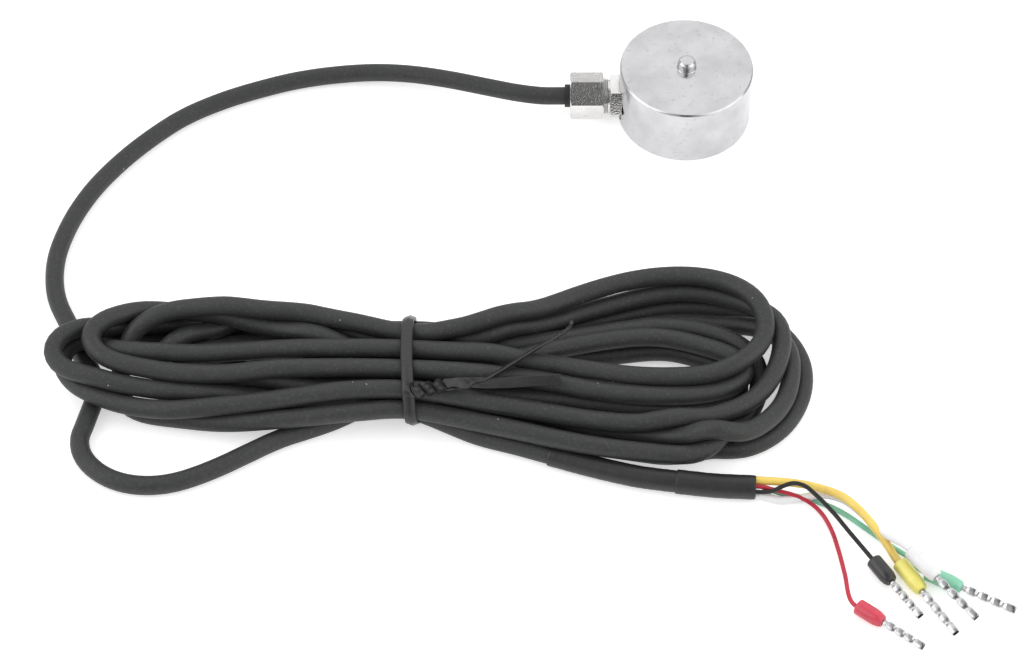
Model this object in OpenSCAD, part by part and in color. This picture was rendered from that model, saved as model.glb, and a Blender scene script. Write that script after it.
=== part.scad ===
// Miniature button load cell: a one-piece round steel spring element with a
// domed load button, a side cable gland, and a cable wound in a tied hank that
// ends in five leads with crimped ferrules. Millimetres, +Z up. The origin is
// the centre of the mounting face. The gland points along -X.

/* [Body] */
// Diameter of the round body
body_d = 26; // [25:0.5:40]
// Height of the body from the mounting face to the top face
body_h = 13; // [12:0.5:25]
// Chamfer on the outer edges
edge_chamfer = 0.3; // [0.1:0.1:0.8]
// Thickness of the sensing diaphragm under the top face
diaphragm_t = 3.2; // [1:0.1:3.5]

/* [Load button] */
// Diameter of the load button
button_d = 3.6; // [2.4:0.1:4.6]
// Height of the load button above the top face
button_h = 2; // [1.2:0.1:4]
// Radius that rounds the top edge of the button
button_round = 1; // [0.2:0.1:1.1]
// Fillet at the root of the button
button_fillet = 0.2; // [0.1:0.05:0.4]

/* [Gauge cavity] */
// Diameter of the central post under the button
post_d = 4.8; // [3:0.2:5.2]
// Length of the central post below the diaphragm
post_l = 4.6; // [1:0.1:5.4]
// Radial wall between the cavity and the base screw holes
hole_web = 1.25; // [0.8:0.05:1.6]
// Width of the ledge that carries the terminal board
board_ledge = 0.6; // [0.4:0.05:0.9]
// Width of the ledge that carries the base cover
cover_ledge = 0.7; // [0.4:0.05:0.75]
// Thickness of the base cover
cover_t = 0.8; // [0.4:0.1:1.2]
// Depth of the cover's lower face inside the mounting face
cover_sink = 0.2; // [0.1:0.05:0.4]
// Gap round the edge of the cover and of the board
fit_gap = 0.1; // [0.05:0.05:0.2]
// Thickness of the terminal board
board_t = 0.6; // [0.4:0.1:1]
// Gap between the cover and the terminal board
board_gap = 2; // [1:0.1:2.4]

/* [Strain gauges] */
// Radial length of a foil gauge
gauge_l = 2.4; // [1.2:0.1:3]
// Width of a foil gauge
gauge_w = 1.8; // [1:0.1:2.4]
// Thickness of a foil gauge with its backing
gauge_t = 0.1; // [0.05:0.05:0.2]

/* [Base holes] */
// Radius of the tapped base holes before threading
hole_r = 1.25; // [0.8:0.05:1.6]
// Distance from the rim of the body to the hole centres
hole_inset = 3; // [2.4:0.1:3.4]
// Depth of the tapped base holes
hole_depth = 5; // [3:0.5:7]
// Angle of the first hole from +X
hole_turn = 45; // [40:1:50]

/* [Cable gland] */
// Width across the flats of the nut and of the flange
hex_af = 8; // [7.6:0.1:9]
// Gap between the lowest possible hexagon corner and the mounting face's plane
hex_floor_gap = 0.18; // [0.1:0.02:1]
// Depth of the flat seat cut in the side of the body
seat_cut = 0.5; // [0.2:0.05:0.7]
// Thickness of the hexagonal flange
flange_t = 2.3; // [1.5:0.1:4]
// Length of the thread that shows between the flange and the nut
neck_l = 1.2; // [0.5:0.1:3]
// Length of the clamping nut
nut_l = 6.6; // [5:0.1:10]
// Thickness of the nut's end wall
nut_end_t = 1; // [0.6:0.1:1.5]
// Chamfer on the corners of the hexagons, measured inwards
hex_chamfer = 0.45; // [0.2:0.05:0.6]
// Turn of the nut about the gland's axis
nut_turn = -8; // [-30:1:30]
// Turn of the flange about the gland's axis
flange_turn = 22; // [-30:1:30]
// Radius of the gland's thread under the nut
nut_thread_r = 3.4; // [3.2:0.05:3.5]
// Radius of the gland's thread in the body
port_thread_r = 2.9; // [2.6:0.05:3]
// Length of the thread in the body
port_thread_l = 3.9; // [2.5:0.1:4]
// Radial gap between mating threads
thread_gap = 0.05; // [0.02:0.01:0.1]
// Radial wall of the rubber seal round the cable at its nose
seal_nose_wall = 0.5; // [0.3:0.05:0.7]
// Length of the seal's nose outside the nut
seal_nose_l = 1; // [0.5:0.1:2]
// Radial wall of the seal's body inside the gland
seal_body_wall = 0.8; // [0.6:0.05:0.9]
// Length of the seal's shoulder between the nut and the thread's end
seal_shoulder_l = 1; // [0.6:0.1:1.4]
// Depth of the seal's seat in the gland body
seal_seat_l = 2.8; // [1.5:0.1:3]

/* [Cable] */
// Outer diameter of the cable
cable_d = 3.5; // [3:0.1:3.6]
// Radial gap between the cable and the bore of the gland body
cable_gap = 0.1; // [0.05:0.05:0.15]
// Length of jacket that reaches past the gland into the body
jacket_reach = 0.2; // [0.1:0.1:0.6]

/* [Hank] */
// Height of the hank's end loops
hank_h = 10; // [7:0.5:14]
// Height of the tied waist above the tie band
waist_h = 9.9; // [8:0.1:14]
// Width of the tied waist
waist_w = 21; // [16:0.5:24]
// Length of the tied waist
waist_l = 6; // [4:0.5:10]
// Corner radius of the tied waist
waist_round = 4; // [2:0.5:4.5]
// Radius of the left end loop's solid
left_loop_r = 13.2; // [10:0.2:13.4]
// Radius of the right end loop's solid
right_loop_r = 20.6; // [18:0.2:20.8]

/* [Twist tie] */
// Width of the tie's ribbon
tie_w = 2; // [1:0.1:3]
// Thickness of the tie's ribbon
tie_t = 0.6; // [0.4:0.1:1]
// Diameter of the twisted part
twist_d = 3; // [2:0.1:4]
// Length of the twisted part
twist_l = 12; // [8:0.5:14]
// Number of full turns in the twisted part
twist_turns = 2.5; // [1:0.5:5]
// Angle round the waist's front shoulder at which the twisted part lies
twist_shoulder = 25; // [0:1:45]
// Length of the free end that stands on its edge
standing_end_l = 20; // [8:1:24]
// Length of the free end that lies flat
flat_end_l = 15; // [8:1:20]

/* [Leads and ferrules] */
// Outer diameter of the inner heat-shrink sleeve
shrink_d = 4; // [3.8:0.1:4.2]
// Outer diameter of the outer heat-shrink sleeve
shrink_outer_d = 4.4; // [4.2:0.1:4.6]
// Radius of a ferrule's crimped metal tube
pin_r = 0.65; // [0.5:0.05:0.75]
// Depth of a pinch between two crimps
crimp_depth = 0.22; // [0.1:0.02:0.3]
// Number of crimps along a pin
crimps = 4; // [2:1:6]
// Radius of a ferrule's plastic collar
collar_r = 1.45; // [1.2:0.05:1.5]
// Depth of a collar's wire funnel
funnel_l = 2.2; // [1.5:0.1:3]
// Collar length of the short ferrules
short_collar_l = 5.4; // [4.5:0.1:6]
// Pin length of the short ferrules
short_pin_l = 8.2; // [6:0.1:9]
// Collar length of the long ferrules
long_collar_l = 6.8; // [6:0.1:7.5]
// Pin length of the long ferrules
long_pin_l = 10; // [8:0.1:11]

/* [Hidden] */
$fn = 96;
eps = 0.01;

// Body and cavity
body_r = body_d / 2;
button_r = button_d / 2;
post_r = post_d / 2;
hole_circle_r = body_r - hole_inset;
cavity_r = hole_circle_r - hole_r - hole_web;
roof_r = cavity_r - board_ledge;
cover_seat_r = cavity_r + cover_ledge;
cover_seat_z = cover_sink + cover_t;
board_z = cover_seat_z + board_gap;
board_top_z = board_z + board_t;
roof_z = body_h - diaphragm_t;
post_z = roof_z - post_l;
gauge_mid_r = (post_r + roof_r) / 2;

// Gland, measured outwards from its seat on the body
cable_r = cable_d / 2;
hex_corner_r = hex_af / 2 / cos(30);
port_z = hex_corner_r + hex_floor_gap;
seat_x = body_r - seat_cut;
nut_start = flange_t + neck_l;
nut_end = nut_start + nut_l;
nut_wall_start = nut_end - nut_end_t;
thread_end = nut_wall_start - seal_shoulder_l;
nose_end = nut_end + seal_nose_l;
gland_bore_r = cable_r + cable_gap;
seal_nose_r = cable_r + seal_nose_wall;
seal_body_r = cable_r + seal_body_wall;
jacket_start = -port_thread_l - jacket_reach;
exit_x = -seat_x - nose_end;

// Hank
tie_x = -52.8;
waist_y = -68.6;
left_loop_at = [-105.4, -65.2];
right_loop_at = [0.6, -67.2];
waist_floor = tie_t;
waist_top = waist_floor + waist_h;

// Cord routes, on the centrelines
floor_z = cable_r;
LEAD_ROUTE = [
    [exit_x, 0, port_z], [-28, 0, port_z], [-33, 1, 4.6], [-38.5, 2.8, 4.2],
    [-46.5, 5.5, 3.6], [-54, 7.5, 3], [-61, 8.5, 2.4], [-68.5, 8.3, 2],
    [-76.5, 7, floor_z], [-84, 4.5, floor_z], [-91, 1.5, floor_z],
    [-98.5, -3, floor_z], [-105, -9, floor_z], [-110.5, -15.5, floor_z],
    [-115, -22.5, floor_z], [-118.5, -31, floor_z], [-120.2, -40, floor_z],
    [-119.3, -48.5, floor_z], [-116.2, -55.5, floor_z]
];
LOOP_ROUTE = [
    [-111.3, -78, floor_z], [-112, -82, floor_z], [-111, -85.5, floor_z],
    [-108.5, -88.5, floor_z], [-105, -90.7, floor_z], [-100.5, -91.8, floor_z],
    [-95.5, -91.5, floor_z], [-91, -90, floor_z], [-86, -87.5, floor_z],
    [-81, -84.5, floor_z], [-76, -81.6, floor_z], [-70.5, -79.3, floor_z]
];
TAIL_ROUTE = [
    [-40, -80.9, 1.8], [-33.5, -83.1, 2], [-27, -85.3, 2]
];
SHRINK_ROUTE = [
    [-27, -85.3, 2], [-19, -88, 2], [-11.5, -90.2, 2.2], [-4.7, -91.3, 2.2]
];
SHRINK_OUTER_ROUTE = [
    [-4.7, -91.3, 2.2], [2.3, -92.2, 2.2], [9.4, -92.6, 2.2]
];
RED_ROUTE = [
    [9.4, -92.95, 2.95], [10.4, -93, 2.95], [13.2, -93.5, 2.5], [16.5, -94.2, 1.9],
    [19, -95.3, 1.3], [21, -97.2, 0.7], [22.5, -100.5, 0.5], [23.5, -105, 0.5],
    [24.2, -110, 0.8]
];
BLACK_ROUTE = [
    [9.4, -93.8, 2.55], [10.4, -93.9, 2.6], [12.2, -94.1, 3.2], [14.2, -93.7, 4.2],
    [16, -93.6, 4.9], [17.8, -94.3, 5.1], [20, -96.2, 4.6], [22.7, -99.2, 3.8],
    [25.3, -102.6, 2.9]
];
YELLOW_ROUTE = [
    [9.46, -91.7, 3.2], [10.4, -91.8, 3.2], [15.5, -91.8, 2.4], [20, -92.2, 1.6],
    [24.5, -94, 1.3], [27.3, -97, 1.5], [29.7, -100.8, 1.8], [31.9, -104.6, 1.8]
];
WHITE_ROUTE = [
    [9.4, -93.55, 1.25], [10.4, -93.6, 1.25], [13.5, -94.9, 1.9], [17.8, -95.2, 3.1],
    [21.3, -95.4, 3.6], [25, -97, 4.1], [28.3, -100.7, 4.6], [31.6, -104.5, 4.9]
];
GREEN_ROUTE = [
    [9.45, -91.85, 1.6], [10.4, -91.9, 1.6], [14, -92.8, 0.7], [18, -93.6, 0.5],
    [21.3, -94.9, 0.5], [25, -97.1, 0.5], [28.7, -100.3, 0.5], [32.8, -104.1, 0.6],
    [35.9, -107.1, 1.1]
];

// Leads: colour, wire diameter, route, ferrule's rear point, its turn about Z,
// its dip below the horizontal, its collar length and its pin length
LEADS = [
    ["crimson", 0.8, RED_ROUTE, [25.8, -117.3, 1.6], -37.5, 1,
        short_collar_l, short_pin_l],
    ["#2a2a2a", 0.8, BLACK_ROUTE, [29.2, -107.9, 1.9], -57, 2,
        short_collar_l, short_pin_l],
    ["gold", 1.5, YELLOW_ROUTE, [33.8, -108.3, 1.6], -59, 1,
        long_collar_l, long_pin_l],
    ["white", 1.5, WHITE_ROUTE, [35.4, -107.9, 5], -51, 6,
        long_collar_l, long_pin_l],
    ["mediumaquamarine", 1, GREEN_ROUTE, [38.3, -110.3, 1.6], -27.7, 1,
        long_collar_l, long_pin_l]
];

// ---------- swept cords ----------

function unit(v) = v / norm(v);

// Direction of a route at its point i
function heading(route, i) =
    unit(route[min(i + 1, len(route) - 1)] - route[max(i - 1, 0)]);

// One ring of a tube round point i of a route
function ring(route, i, r, sides) =
    let (ahead = heading(route, i),
         side = unit(cross([0, 0, 1], ahead)),
         up = cross(ahead, side))
    [for (k = [0:sides - 1])
        let (a = 360 * k / sides)
        route[i] + r * (cos(a) * side + sin(a) * up)];

// A tube of one diameter along a route, closed by flat ends
module tube(route, d, sides = 8) {
    last = len(route) - 1;
    points = [for (i = [0:last]) each ring(route, i, d / 2, sides)];
    walls = [for (i = [0:last - 1], k = [0:sides - 1])
        let (a = i * sides + k,
             b = i * sides + (k + 1) % sides)
        each [[a, b, a + sides], [b, b + sides, a + sides]]];
    near_end = [[for (k = [0:sides - 1]) sides - 1 - k]];
    far_end = [[for (k = [0:sides - 1]) last * sides + k]];
    polyhedron(points = points,
        faces = [for (f = concat(walls, near_end, far_end))
            [for (k = [len(f) - 1:-1:0]) f[k]]]);
}

// ---------- spring element ----------

// Quarter arc in the (radius, height) plane from angle a to angle b
function arc(centre, r, a, b, steps = 8) =
    [for (i = [0:steps]) centre + r * [cos(a + (b - a) * i / steps),
                                        sin(a + (b - a) * i / steps)]];

module button_profile() {
    round_r = min(button_round, button_r - 0.4);
    top_z = body_h + button_h;
    polygon(concat(
        [[0, body_h - eps], [button_r + button_fillet, body_h - eps]],
        arc([button_r + button_fillet, body_h + button_fillet],
            button_fillet, 270, 180),
        arc([button_r - round_r, top_z - round_r], round_r, 0, 90),
        [[0, top_z]]
    ));
}

module body_profile() {
    polygon([
        [0, post_z], [post_r, post_z], [post_r, roof_z], [roof_r, roof_z],
        [roof_r, board_top_z], [cavity_r, board_top_z],
        [cavity_r, cover_seat_z], [cover_seat_r, cover_seat_z],
        [cover_seat_r, 0], [body_r - edge_chamfer, 0], [body_r, edge_chamfer],
        [body_r, body_h - edge_chamfer], [body_r - edge_chamfer, body_h],
        [0, body_h]
    ]);
}

// Moves a shape modelled along +Z, outwards from the gland's seat, to the port
module at_port() {
    translate([-seat_x, 0, port_z]) rotate([0, -90, 0]) children();
}

module base_holes() {
    for (i = [0:3])
        rotate(hole_turn + 90 * i) translate([hole_circle_r, 0, -eps])
            cylinder(h = hole_depth + eps, r = hole_r);
}

module sensor_body() {
    color("#d4d4d7")
    difference() {
        union() {
            rotate_extrude() body_profile();
            rotate_extrude() button_profile();
        }
        base_holes();
        at_port() cylinder(h = body_r, r = hex_corner_r + fit_gap);
        at_port() translate([0, 0, gauge_mid_r - seat_x])
            cylinder(h = seat_x, r = port_thread_r + thread_gap);
    }
}

module base_cover() {
    color("#bdbdc2")
    translate([0, 0, cover_sink]) cylinder(h = cover_t, r = cover_seat_r - fit_gap);
}

// Foil gauge bonded under the diaphragm, with its long side along the radius
module gauge(index) {
    color("#c98b3a")
    rotate(45 + 90 * index) translate([gauge_mid_r, 0, roof_z - gauge_t / 2])
        cube([gauge_l, gauge_w, gauge_t], center = true);
}

module terminal_board() {
    color("#2f6b46")
    translate([0, 0, board_z]) difference() {
        cylinder(h = board_t, r = cavity_r - fit_gap);
        translate([0, 0, -eps]) cylinder(h = board_t + 2 * eps, r = post_r + fit_gap);
    }
}

// Four conductors from the end of the jacket down to the terminal board
module inner_leads() {
    lead_d = 0.6;
    spread = 0.75;
    start_x = -seat_x - jacket_start;
    for (i = [0:3])
        color(["crimson", "#2a2a2a", "mediumaquamarine", "white"][i])
        tube([
            [start_x, spread * (i - 1.5), port_z],
            [start_x + 1.2, spread * (i - 1.5), port_z],
            [start_x + 2.2, spread * 1.2 * (i - 1.5), (port_z + board_top_z) / 2],
            [start_x + 2.8, spread * 1.4 * (i - 1.5), board_top_z + lead_d / 2],
            [start_x + 3.8, spread * 1.6 * (i - 1.5), board_top_z + lead_d / 2]
        ], lead_d, 6);
}

// ---------- cable gland ----------

// Hexagonal bar from z = from to z = to, with its corners turned off at each
// end that is asked for
module hex_bar(from, to, turn, chamfer_from, chamfer_to) {
    low = chamfer_from ? hex_chamfer : 0;
    high = chamfer_to ? hex_chamfer : 0;
    slope = tan(30);
    intersection() {
        translate([0, 0, from]) rotate(turn)
            cylinder(h = to - from, r = hex_corner_r, $fn = 6);
        rotate_extrude() polygon([
            [0, from], [hex_corner_r - low, from],
            [hex_corner_r + eps, from + (low + eps) * slope],
            [hex_corner_r + eps, to - (high + eps) * slope],
            [hex_corner_r - high, to], [0, to]
        ]);
    }
}

module gland_body() {
    color("#c9c9cc")
    at_port() difference() {
        union() {
            hex_bar(0, flange_t, flange_turn, false, true);
            cylinder(h = thread_end, r = nut_thread_r);
            translate([0, 0, -port_thread_l])
                cylinder(h = port_thread_l + eps, r = port_thread_r);
        }
        translate([0, 0, -port_thread_l - eps])
            cylinder(h = port_thread_l + thread_end + 2 * eps, r = gland_bore_r);
        translate([0, 0, thread_end - seal_seat_l])
            cylinder(h = seal_seat_l + eps, r = seal_body_r + thread_gap);
    }
}

module seal_bush() {
    color("#1d1d1d")
    at_port() rotate_extrude() polygon([
        [cable_r, thread_end - seal_seat_l], [seal_body_r, thread_end - seal_seat_l],
        [seal_body_r, thread_end], [nut_thread_r, thread_end],
        [nut_thread_r, nut_wall_start], [seal_nose_r, nut_wall_start],
        [seal_nose_r, nose_end], [cable_r, nose_end]
    ]);
}

module gland_nut() {
    color("#d0d0d3")
    at_port() difference() {
        hex_bar(nut_start, nut_end, nut_turn, true, true);
        translate([0, 0, nut_start - eps])
            cylinder(h = nut_wall_start - nut_start + eps,
                r = nut_thread_r + thread_gap);
        translate([0, 0, nut_wall_start - eps])
            cylinder(h = nut_end_t + 2 * eps, r = seal_nose_r + thread_gap);
    }
}

// ---------- cable ----------

CABLE_COLOUR = "#46474a";

module cable_core() {
    color(CABLE_COLOUR)
    at_port() translate([0, 0, jacket_start])
        cylinder(h = nose_end - jacket_start, r = cable_r);
}

module cable_lead() {
    color(CABLE_COLOUR) tube(LEAD_ROUTE, cable_d);
}

module cable_loop() {
    color(CABLE_COLOUR) tube(LOOP_ROUTE, cable_d);
}

module cable_tail() {
    color(CABLE_COLOUR) tube(TAIL_ROUTE, cable_d);
}

// Rounded rectangle, centred across and standing on the axis
module waist_section(grow = 0) {
    w = waist_w + 2 * grow;
    h = waist_h + 2 * grow;
    r = waist_round + grow;
    translate([-w / 2, -grow]) {
        translate([r, 0]) square([w - 2 * r, h]);
        translate([0, r]) square([w, h - 2 * r]);
        for (x = [r, w - r], y = [r, h - r]) translate([x, y]) circle(r);
    }
}

// Extrudes a section that is drawn across (Y) and up (Z) along X, about tie_x
module along_hank(length) {
    translate([tie_x - length / 2, waist_y, waist_floor])
        rotate([90, 0, 90]) linear_extrude(length) children();
}

// One end loop of the hank, from the waist to its round end
module hank_end(side, at, r) {
    linear_extrude(hank_h) hull() {
        translate(at) circle(r, $fn = 48);
        translate([tie_x + side * (waist_l / 2 + 0.5), waist_y])
            square([1, waist_w - 2], center = true);
    }
}

module cable_hank() {
    color(CABLE_COLOUR) {
        along_hank(waist_l + eps) waist_section();
        hank_end(-1, left_loop_at, left_loop_r);
        hank_end(1, right_loop_at, right_loop_r);
    }
}

// The two halves of the ribbon side by side, as they wind round each other
module twist_section() {
    lobe_r = twist_d / 4;
    for (side = [-1, 1])
        translate([side * (lobe_r - eps), 0]) scale([1, 1.5]) circle(lobe_r, $fn = 10);
}

// Moves a shape to the front shoulder of the waist, clear of the tie band by
// the distance out, with +X along the hank
module on_shoulder(out) {
    reach = waist_round + tie_t + out;
    translate([
        tie_x,
        waist_y - waist_w / 2 + waist_round - reach * sin(twist_shoulder),
        waist_top - waist_round + reach * cos(twist_shoulder)
    ]) children();
}

module twist_tie() {
    color("#3a3a3c") {
        along_hank(tie_w) difference() {
            waist_section(tie_t);
            waist_section();
        }
        on_shoulder(twist_d / 2 - eps) rotate(7) {
            rotate([0, 90, 0])
                linear_extrude(twist_l, twist = -360 * twist_turns,
                    slices = 10 * twist_turns)
                twist_section();
            translate([twist_l - 1.5, 0, 0]) {
                rotate(28) translate([0, -tie_t / 2, -tie_w / 2])
                    cube([standing_end_l, tie_t, tie_w]);
                rotate(-3) translate([0, -tie_w / 2, -tie_t / 2])
                    cube([flat_end_l, tie_w, tie_t]);
            }
        }
    }
}

module shrink_inner() {
    color("#2e2e30") tube(SHRINK_ROUTE, shrink_d);
}

module shrink_outer() {
    color("#2e2e30") tube(SHRINK_OUTER_ROUTE, shrink_outer_d);
}

// ---------- leads ----------

// Moves a shape modelled along +Z from its rear end to lie where lead i ends
module at_ferrule(i) {
    lead = LEADS[i];
    translate(lead[3]) rotate([0, 90 + lead[5], lead[4]]) children();
}

// Point at a distance ahead of the rear end of ferrule i
function in_ferrule(i, ahead) =
    let (turn = LEADS[i][4], dip = LEADS[i][5])
    LEADS[i][3] + ahead * [cos(turn) * cos(dip), sin(turn) * cos(dip), -sin(dip)];

module wire(i) {
    lead = LEADS[i];
    color(lead[0])
    tube(concat(lead[2], [in_ferrule(i, -1), in_ferrule(i, funnel_l)]), lead[1]);
}

// Plastic collar: funnel for the wire, straight barrel, tapered front
module collar(i) {
    length = LEADS[i][6];
    funnel_r = LEADS[i][1] / 2 + fit_gap;
    color(LEADS[i][0])
    at_ferrule(i) rotate_extrude() polygon([
        [funnel_r + 0.15, 0], [collar_r - 0.3, 0], [collar_r, 0.4],
        [collar_r, 0.64 * length], [pin_r + 0.3, length - 0.2],
        [pin_r + 0.1, length], [pin_r, length], [pin_r, funnel_l],
        [funnel_r, funnel_l], [funnel_r, 0.6]
    ]);
}

// Crimped metal tube: round inside the collar, then a row of crimps whose
// flats are pressed by square jaws, with the open end showing at the tip
module pin(i) {
    collar_l = LEADS[i][6];
    pin_l = LEADS[i][7];
    bare_l = 0.7;
    pitch = (pin_l - bare_l) / crimps;
    slope = 0.3;
    flat_af = 2 * pin_r * 0.86;
    low_r = pin_r - crimp_depth;
    color("#c8c8cc")
    at_ferrule(i) difference() {
        union() {
            translate([0, 0, funnel_l])
                cylinder(h = collar_l + bare_l - funnel_l, r = pin_r);
            intersection() {
                translate([0, 0, collar_l + bare_l]) rotate_extrude()
                    polygon(concat(
                        [[0, 0]],
                        [for (k = [0:crimps - 1]) each [
                            [low_r, k * pitch], [pin_r, k * pitch + slope],
                            [pin_r, (k + 1) * pitch - slope]
                        ]],
                        [[pin_r, pin_l - bare_l], [0, pin_l - bare_l]]
                    ));
                translate([0, 0, collar_l + bare_l + pin_l / 2])
                    cube([flat_af, flat_af, pin_l], center = true);
            }
        }
        translate([0, 0, collar_l + pin_l - 0.6]) cylinder(h = 1, r = pin_r * 0.5);
    }
}

sensor_body();
base_cover();
gauge(0);  // gauge_1
gauge(1);  // gauge_2
gauge(2);  // gauge_3
gauge(3);  // gauge_4
terminal_board();
inner_leads();
gland_body();
seal_bush();
gland_nut();
cable_core();
cable_lead();
cable_loop();
cable_hank();
cable_tail();
twist_tie();
shrink_inner();
shrink_outer();
wire(0);  // wire_red
wire(1);  // wire_black
wire(2);  // wire_yellow
wire(3);  // wire_white
wire(4);  // wire_green
collar(0);  // collar_red
collar(1);  // collar_black
collar(2);  // collar_yellow
collar(3);  // collar_white
collar(4);  // collar_green
pin(0);  // pin_red
pin(1);  // pin_black
pin(2);  // pin_yellow
pin(3);  // pin_white
pin(4);  // pin_green
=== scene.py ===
"""Dresses the button compression load cell, its tied cable and its five leads.

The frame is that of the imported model: the origin is the centre of the mounting
face, +Z is up and the cable gland points along -X. Lengths are in metres, but
points and sizes of cords, ferrules and the tie are written in millimetres and
scaled by MM where a mesh is made. Angles are in degrees where a name or a
docstring doesn't say radians.
"""
import logging
import math
from collections.abc import Sequence
from dataclasses import dataclass, field
from enum import Enum

import bpy
import numpy as np
from mathutils import Matrix, Vector


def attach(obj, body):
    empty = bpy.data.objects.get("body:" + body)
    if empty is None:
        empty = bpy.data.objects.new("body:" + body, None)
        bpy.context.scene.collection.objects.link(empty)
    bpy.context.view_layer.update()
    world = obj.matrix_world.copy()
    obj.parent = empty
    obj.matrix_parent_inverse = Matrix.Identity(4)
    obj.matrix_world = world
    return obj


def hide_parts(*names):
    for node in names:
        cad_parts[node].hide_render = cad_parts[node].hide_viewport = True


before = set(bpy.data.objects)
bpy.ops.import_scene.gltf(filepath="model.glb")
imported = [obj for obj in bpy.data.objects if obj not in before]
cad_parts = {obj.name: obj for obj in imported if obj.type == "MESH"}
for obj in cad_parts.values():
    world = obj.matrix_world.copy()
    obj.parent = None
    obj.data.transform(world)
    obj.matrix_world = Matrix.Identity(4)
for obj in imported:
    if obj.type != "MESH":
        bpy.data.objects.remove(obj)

LOG = logging.getLogger("load_cell")
MM = 0.001
BODY = "root"
Point = tuple[float, float, float]
Colour = tuple[float, float, float, float]
Socket = bpy.types.NodeSocket
Piece = bpy.types.Object


class Slot(Enum):
    """Material slots of the record."""

    NICKEL = "nickel_steel"
    PLATING = "gland_plating"
    RUBBER = "seal_rubber"
    JACKET = "cable_jacket"
    TIE = "tie_plastic"
    SLEEVE = "shrink_sleeve"
    TIN = "tinned_copper"


# ---------------------------------------------------------------- finishes


class Nodes:
    """A node tree with short calls to add and join nodes."""

    def __init__(self, tree: bpy.types.NodeTree) -> None:
        """Takes a tree as it stands."""
        self.tree = tree

    def feed(self, socket: Socket, value: object) -> None:
        """Links an input to another socket, or sets its own value.

        Args:
            socket: The input.
            value: A socket or a plain value.
        """
        if isinstance(value, Socket):
            self.tree.links.new(value, socket)
        else:
            socket.default_value = value

    def add(self, kind: str, *feeds: object, **values: object) -> bpy.types.Node:
        """Adds a node.

        Args:
            kind: Blender's node type without its "ShaderNode" part.
            feeds: Values or links for its first inputs.
            values: Node settings, or values and links for its named inputs.

        Returns:
            The new node.
        """
        node = self.tree.nodes.new("ShaderNode" + kind)
        for key, value in values.items():
            if hasattr(node, key):
                setattr(node, key, value)
            else:
                self.feed(node.inputs[key.replace("_", " ")], value)
        for socket, value in zip(node.inputs, feeds):
            self.feed(socket, value)
        return node

    def between(self, value: Socket, low: float, high: float, to_low: float = 0.0,
                to_high: float = 1.0) -> Socket:
        """Maps a value from its own range to another and holds it in that one."""
        return self.add("MapRange", value, low, high, to_low, to_high).outputs[0]

    def maths(self, operation: str, first: object, second: object = 0.0) -> Socket:
        """One step of arithmetic, by Blender's name for it."""
        return self.add("Math", first, second, operation=operation).outputs[0]

    def seen_directly(self) -> Socket:
        """Finds out how the surface or the world is looked at.

        Returns:
            1 for rays from the camera, a reflection or a clear body, else 0.
        """
        path = self.add("LightPath").outputs
        seen = self.maths("MAXIMUM", path["Is Camera Ray"], path["Is Glossy Ray"])
        return self.maths("MAXIMUM", seen, path["Is Transmission Ray"])


class Graph(Nodes):
    """The nodes of a new material, round a Principled shader."""

    def __init__(self, name: str) -> None:
        """Starts the material.

        Args:
            name: Its name.
        """
        self.material = bpy.data.materials.new(name)
        self.material.use_nodes = True
        super().__init__(self.material.node_tree)
        self.shader = self.tree.nodes["Principled BSDF"]
        self.place = self.add("TexCoord").outputs["Object"]

    def blotches(self, size: float, detail: float,
                 place: Socket | None = None) -> Socket:
        """Soft noise whose patches are about size across.

        Args:
            size: Width of a patch in metres.
            detail: Octaves of finer noise.
            place: Coordinates to read, the object's own if None.

        Returns:
            The noise as a socket from 0 to 1.
        """
        noise = self.add("TexNoise", Vector=place or self.place,
                         Scale=1 / size, Detail=detail)
        return noise.outputs["Fac"]

    def blend(self, share: Socket, first: object, second: object) -> Socket:
        """Mixes two colours.

        Args:
            share: 0 for the first colour and 1 for the second.
            first: Colour or colour socket.
            second: Colour or colour socket.

        Returns:
            The mixed colour.
        """
        node = self.add("Mix", share, data_type="RGBA")
        # The node has sockets for each type: these are the ones for colours.
        self.feed(node.inputs[6], first)
        self.feed(node.inputs[7], second)
        return node.outputs[2]

    def bump(self, height: Socket, depth: float) -> None:
        """Raises the surface by a height from 0 to 1.

        Args:
            height: The relief.
            depth: How high 1 stands, in metres.
        """
        normal = self.shader.inputs["Normal"]
        before = [link.from_socket for link in normal.links]
        node = self.add("Bump", Strength=1.0, Distance=depth, Height=height)
        if before:
            self.feed(node.inputs["Normal"], before[0])
        self.feed(normal, node.outputs[0])

    def set(self, **values: object) -> None:
        """Sets or links inputs of the shader, with _ in a name for a space."""
        for key, value in values.items():
            self.feed(self.shader.inputs[key.replace("_", " ")], value)


def grey(level: float) -> Colour:
    """A neutral colour of that linear level."""
    return (level, level, level, 1.0)


def shade(colour: Colour, factor: float) -> Colour:
    """A colour made lighter or darker by a factor."""
    return tuple(min(1.0, part * factor) for part in colour[:3]) + (1.0,)


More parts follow.
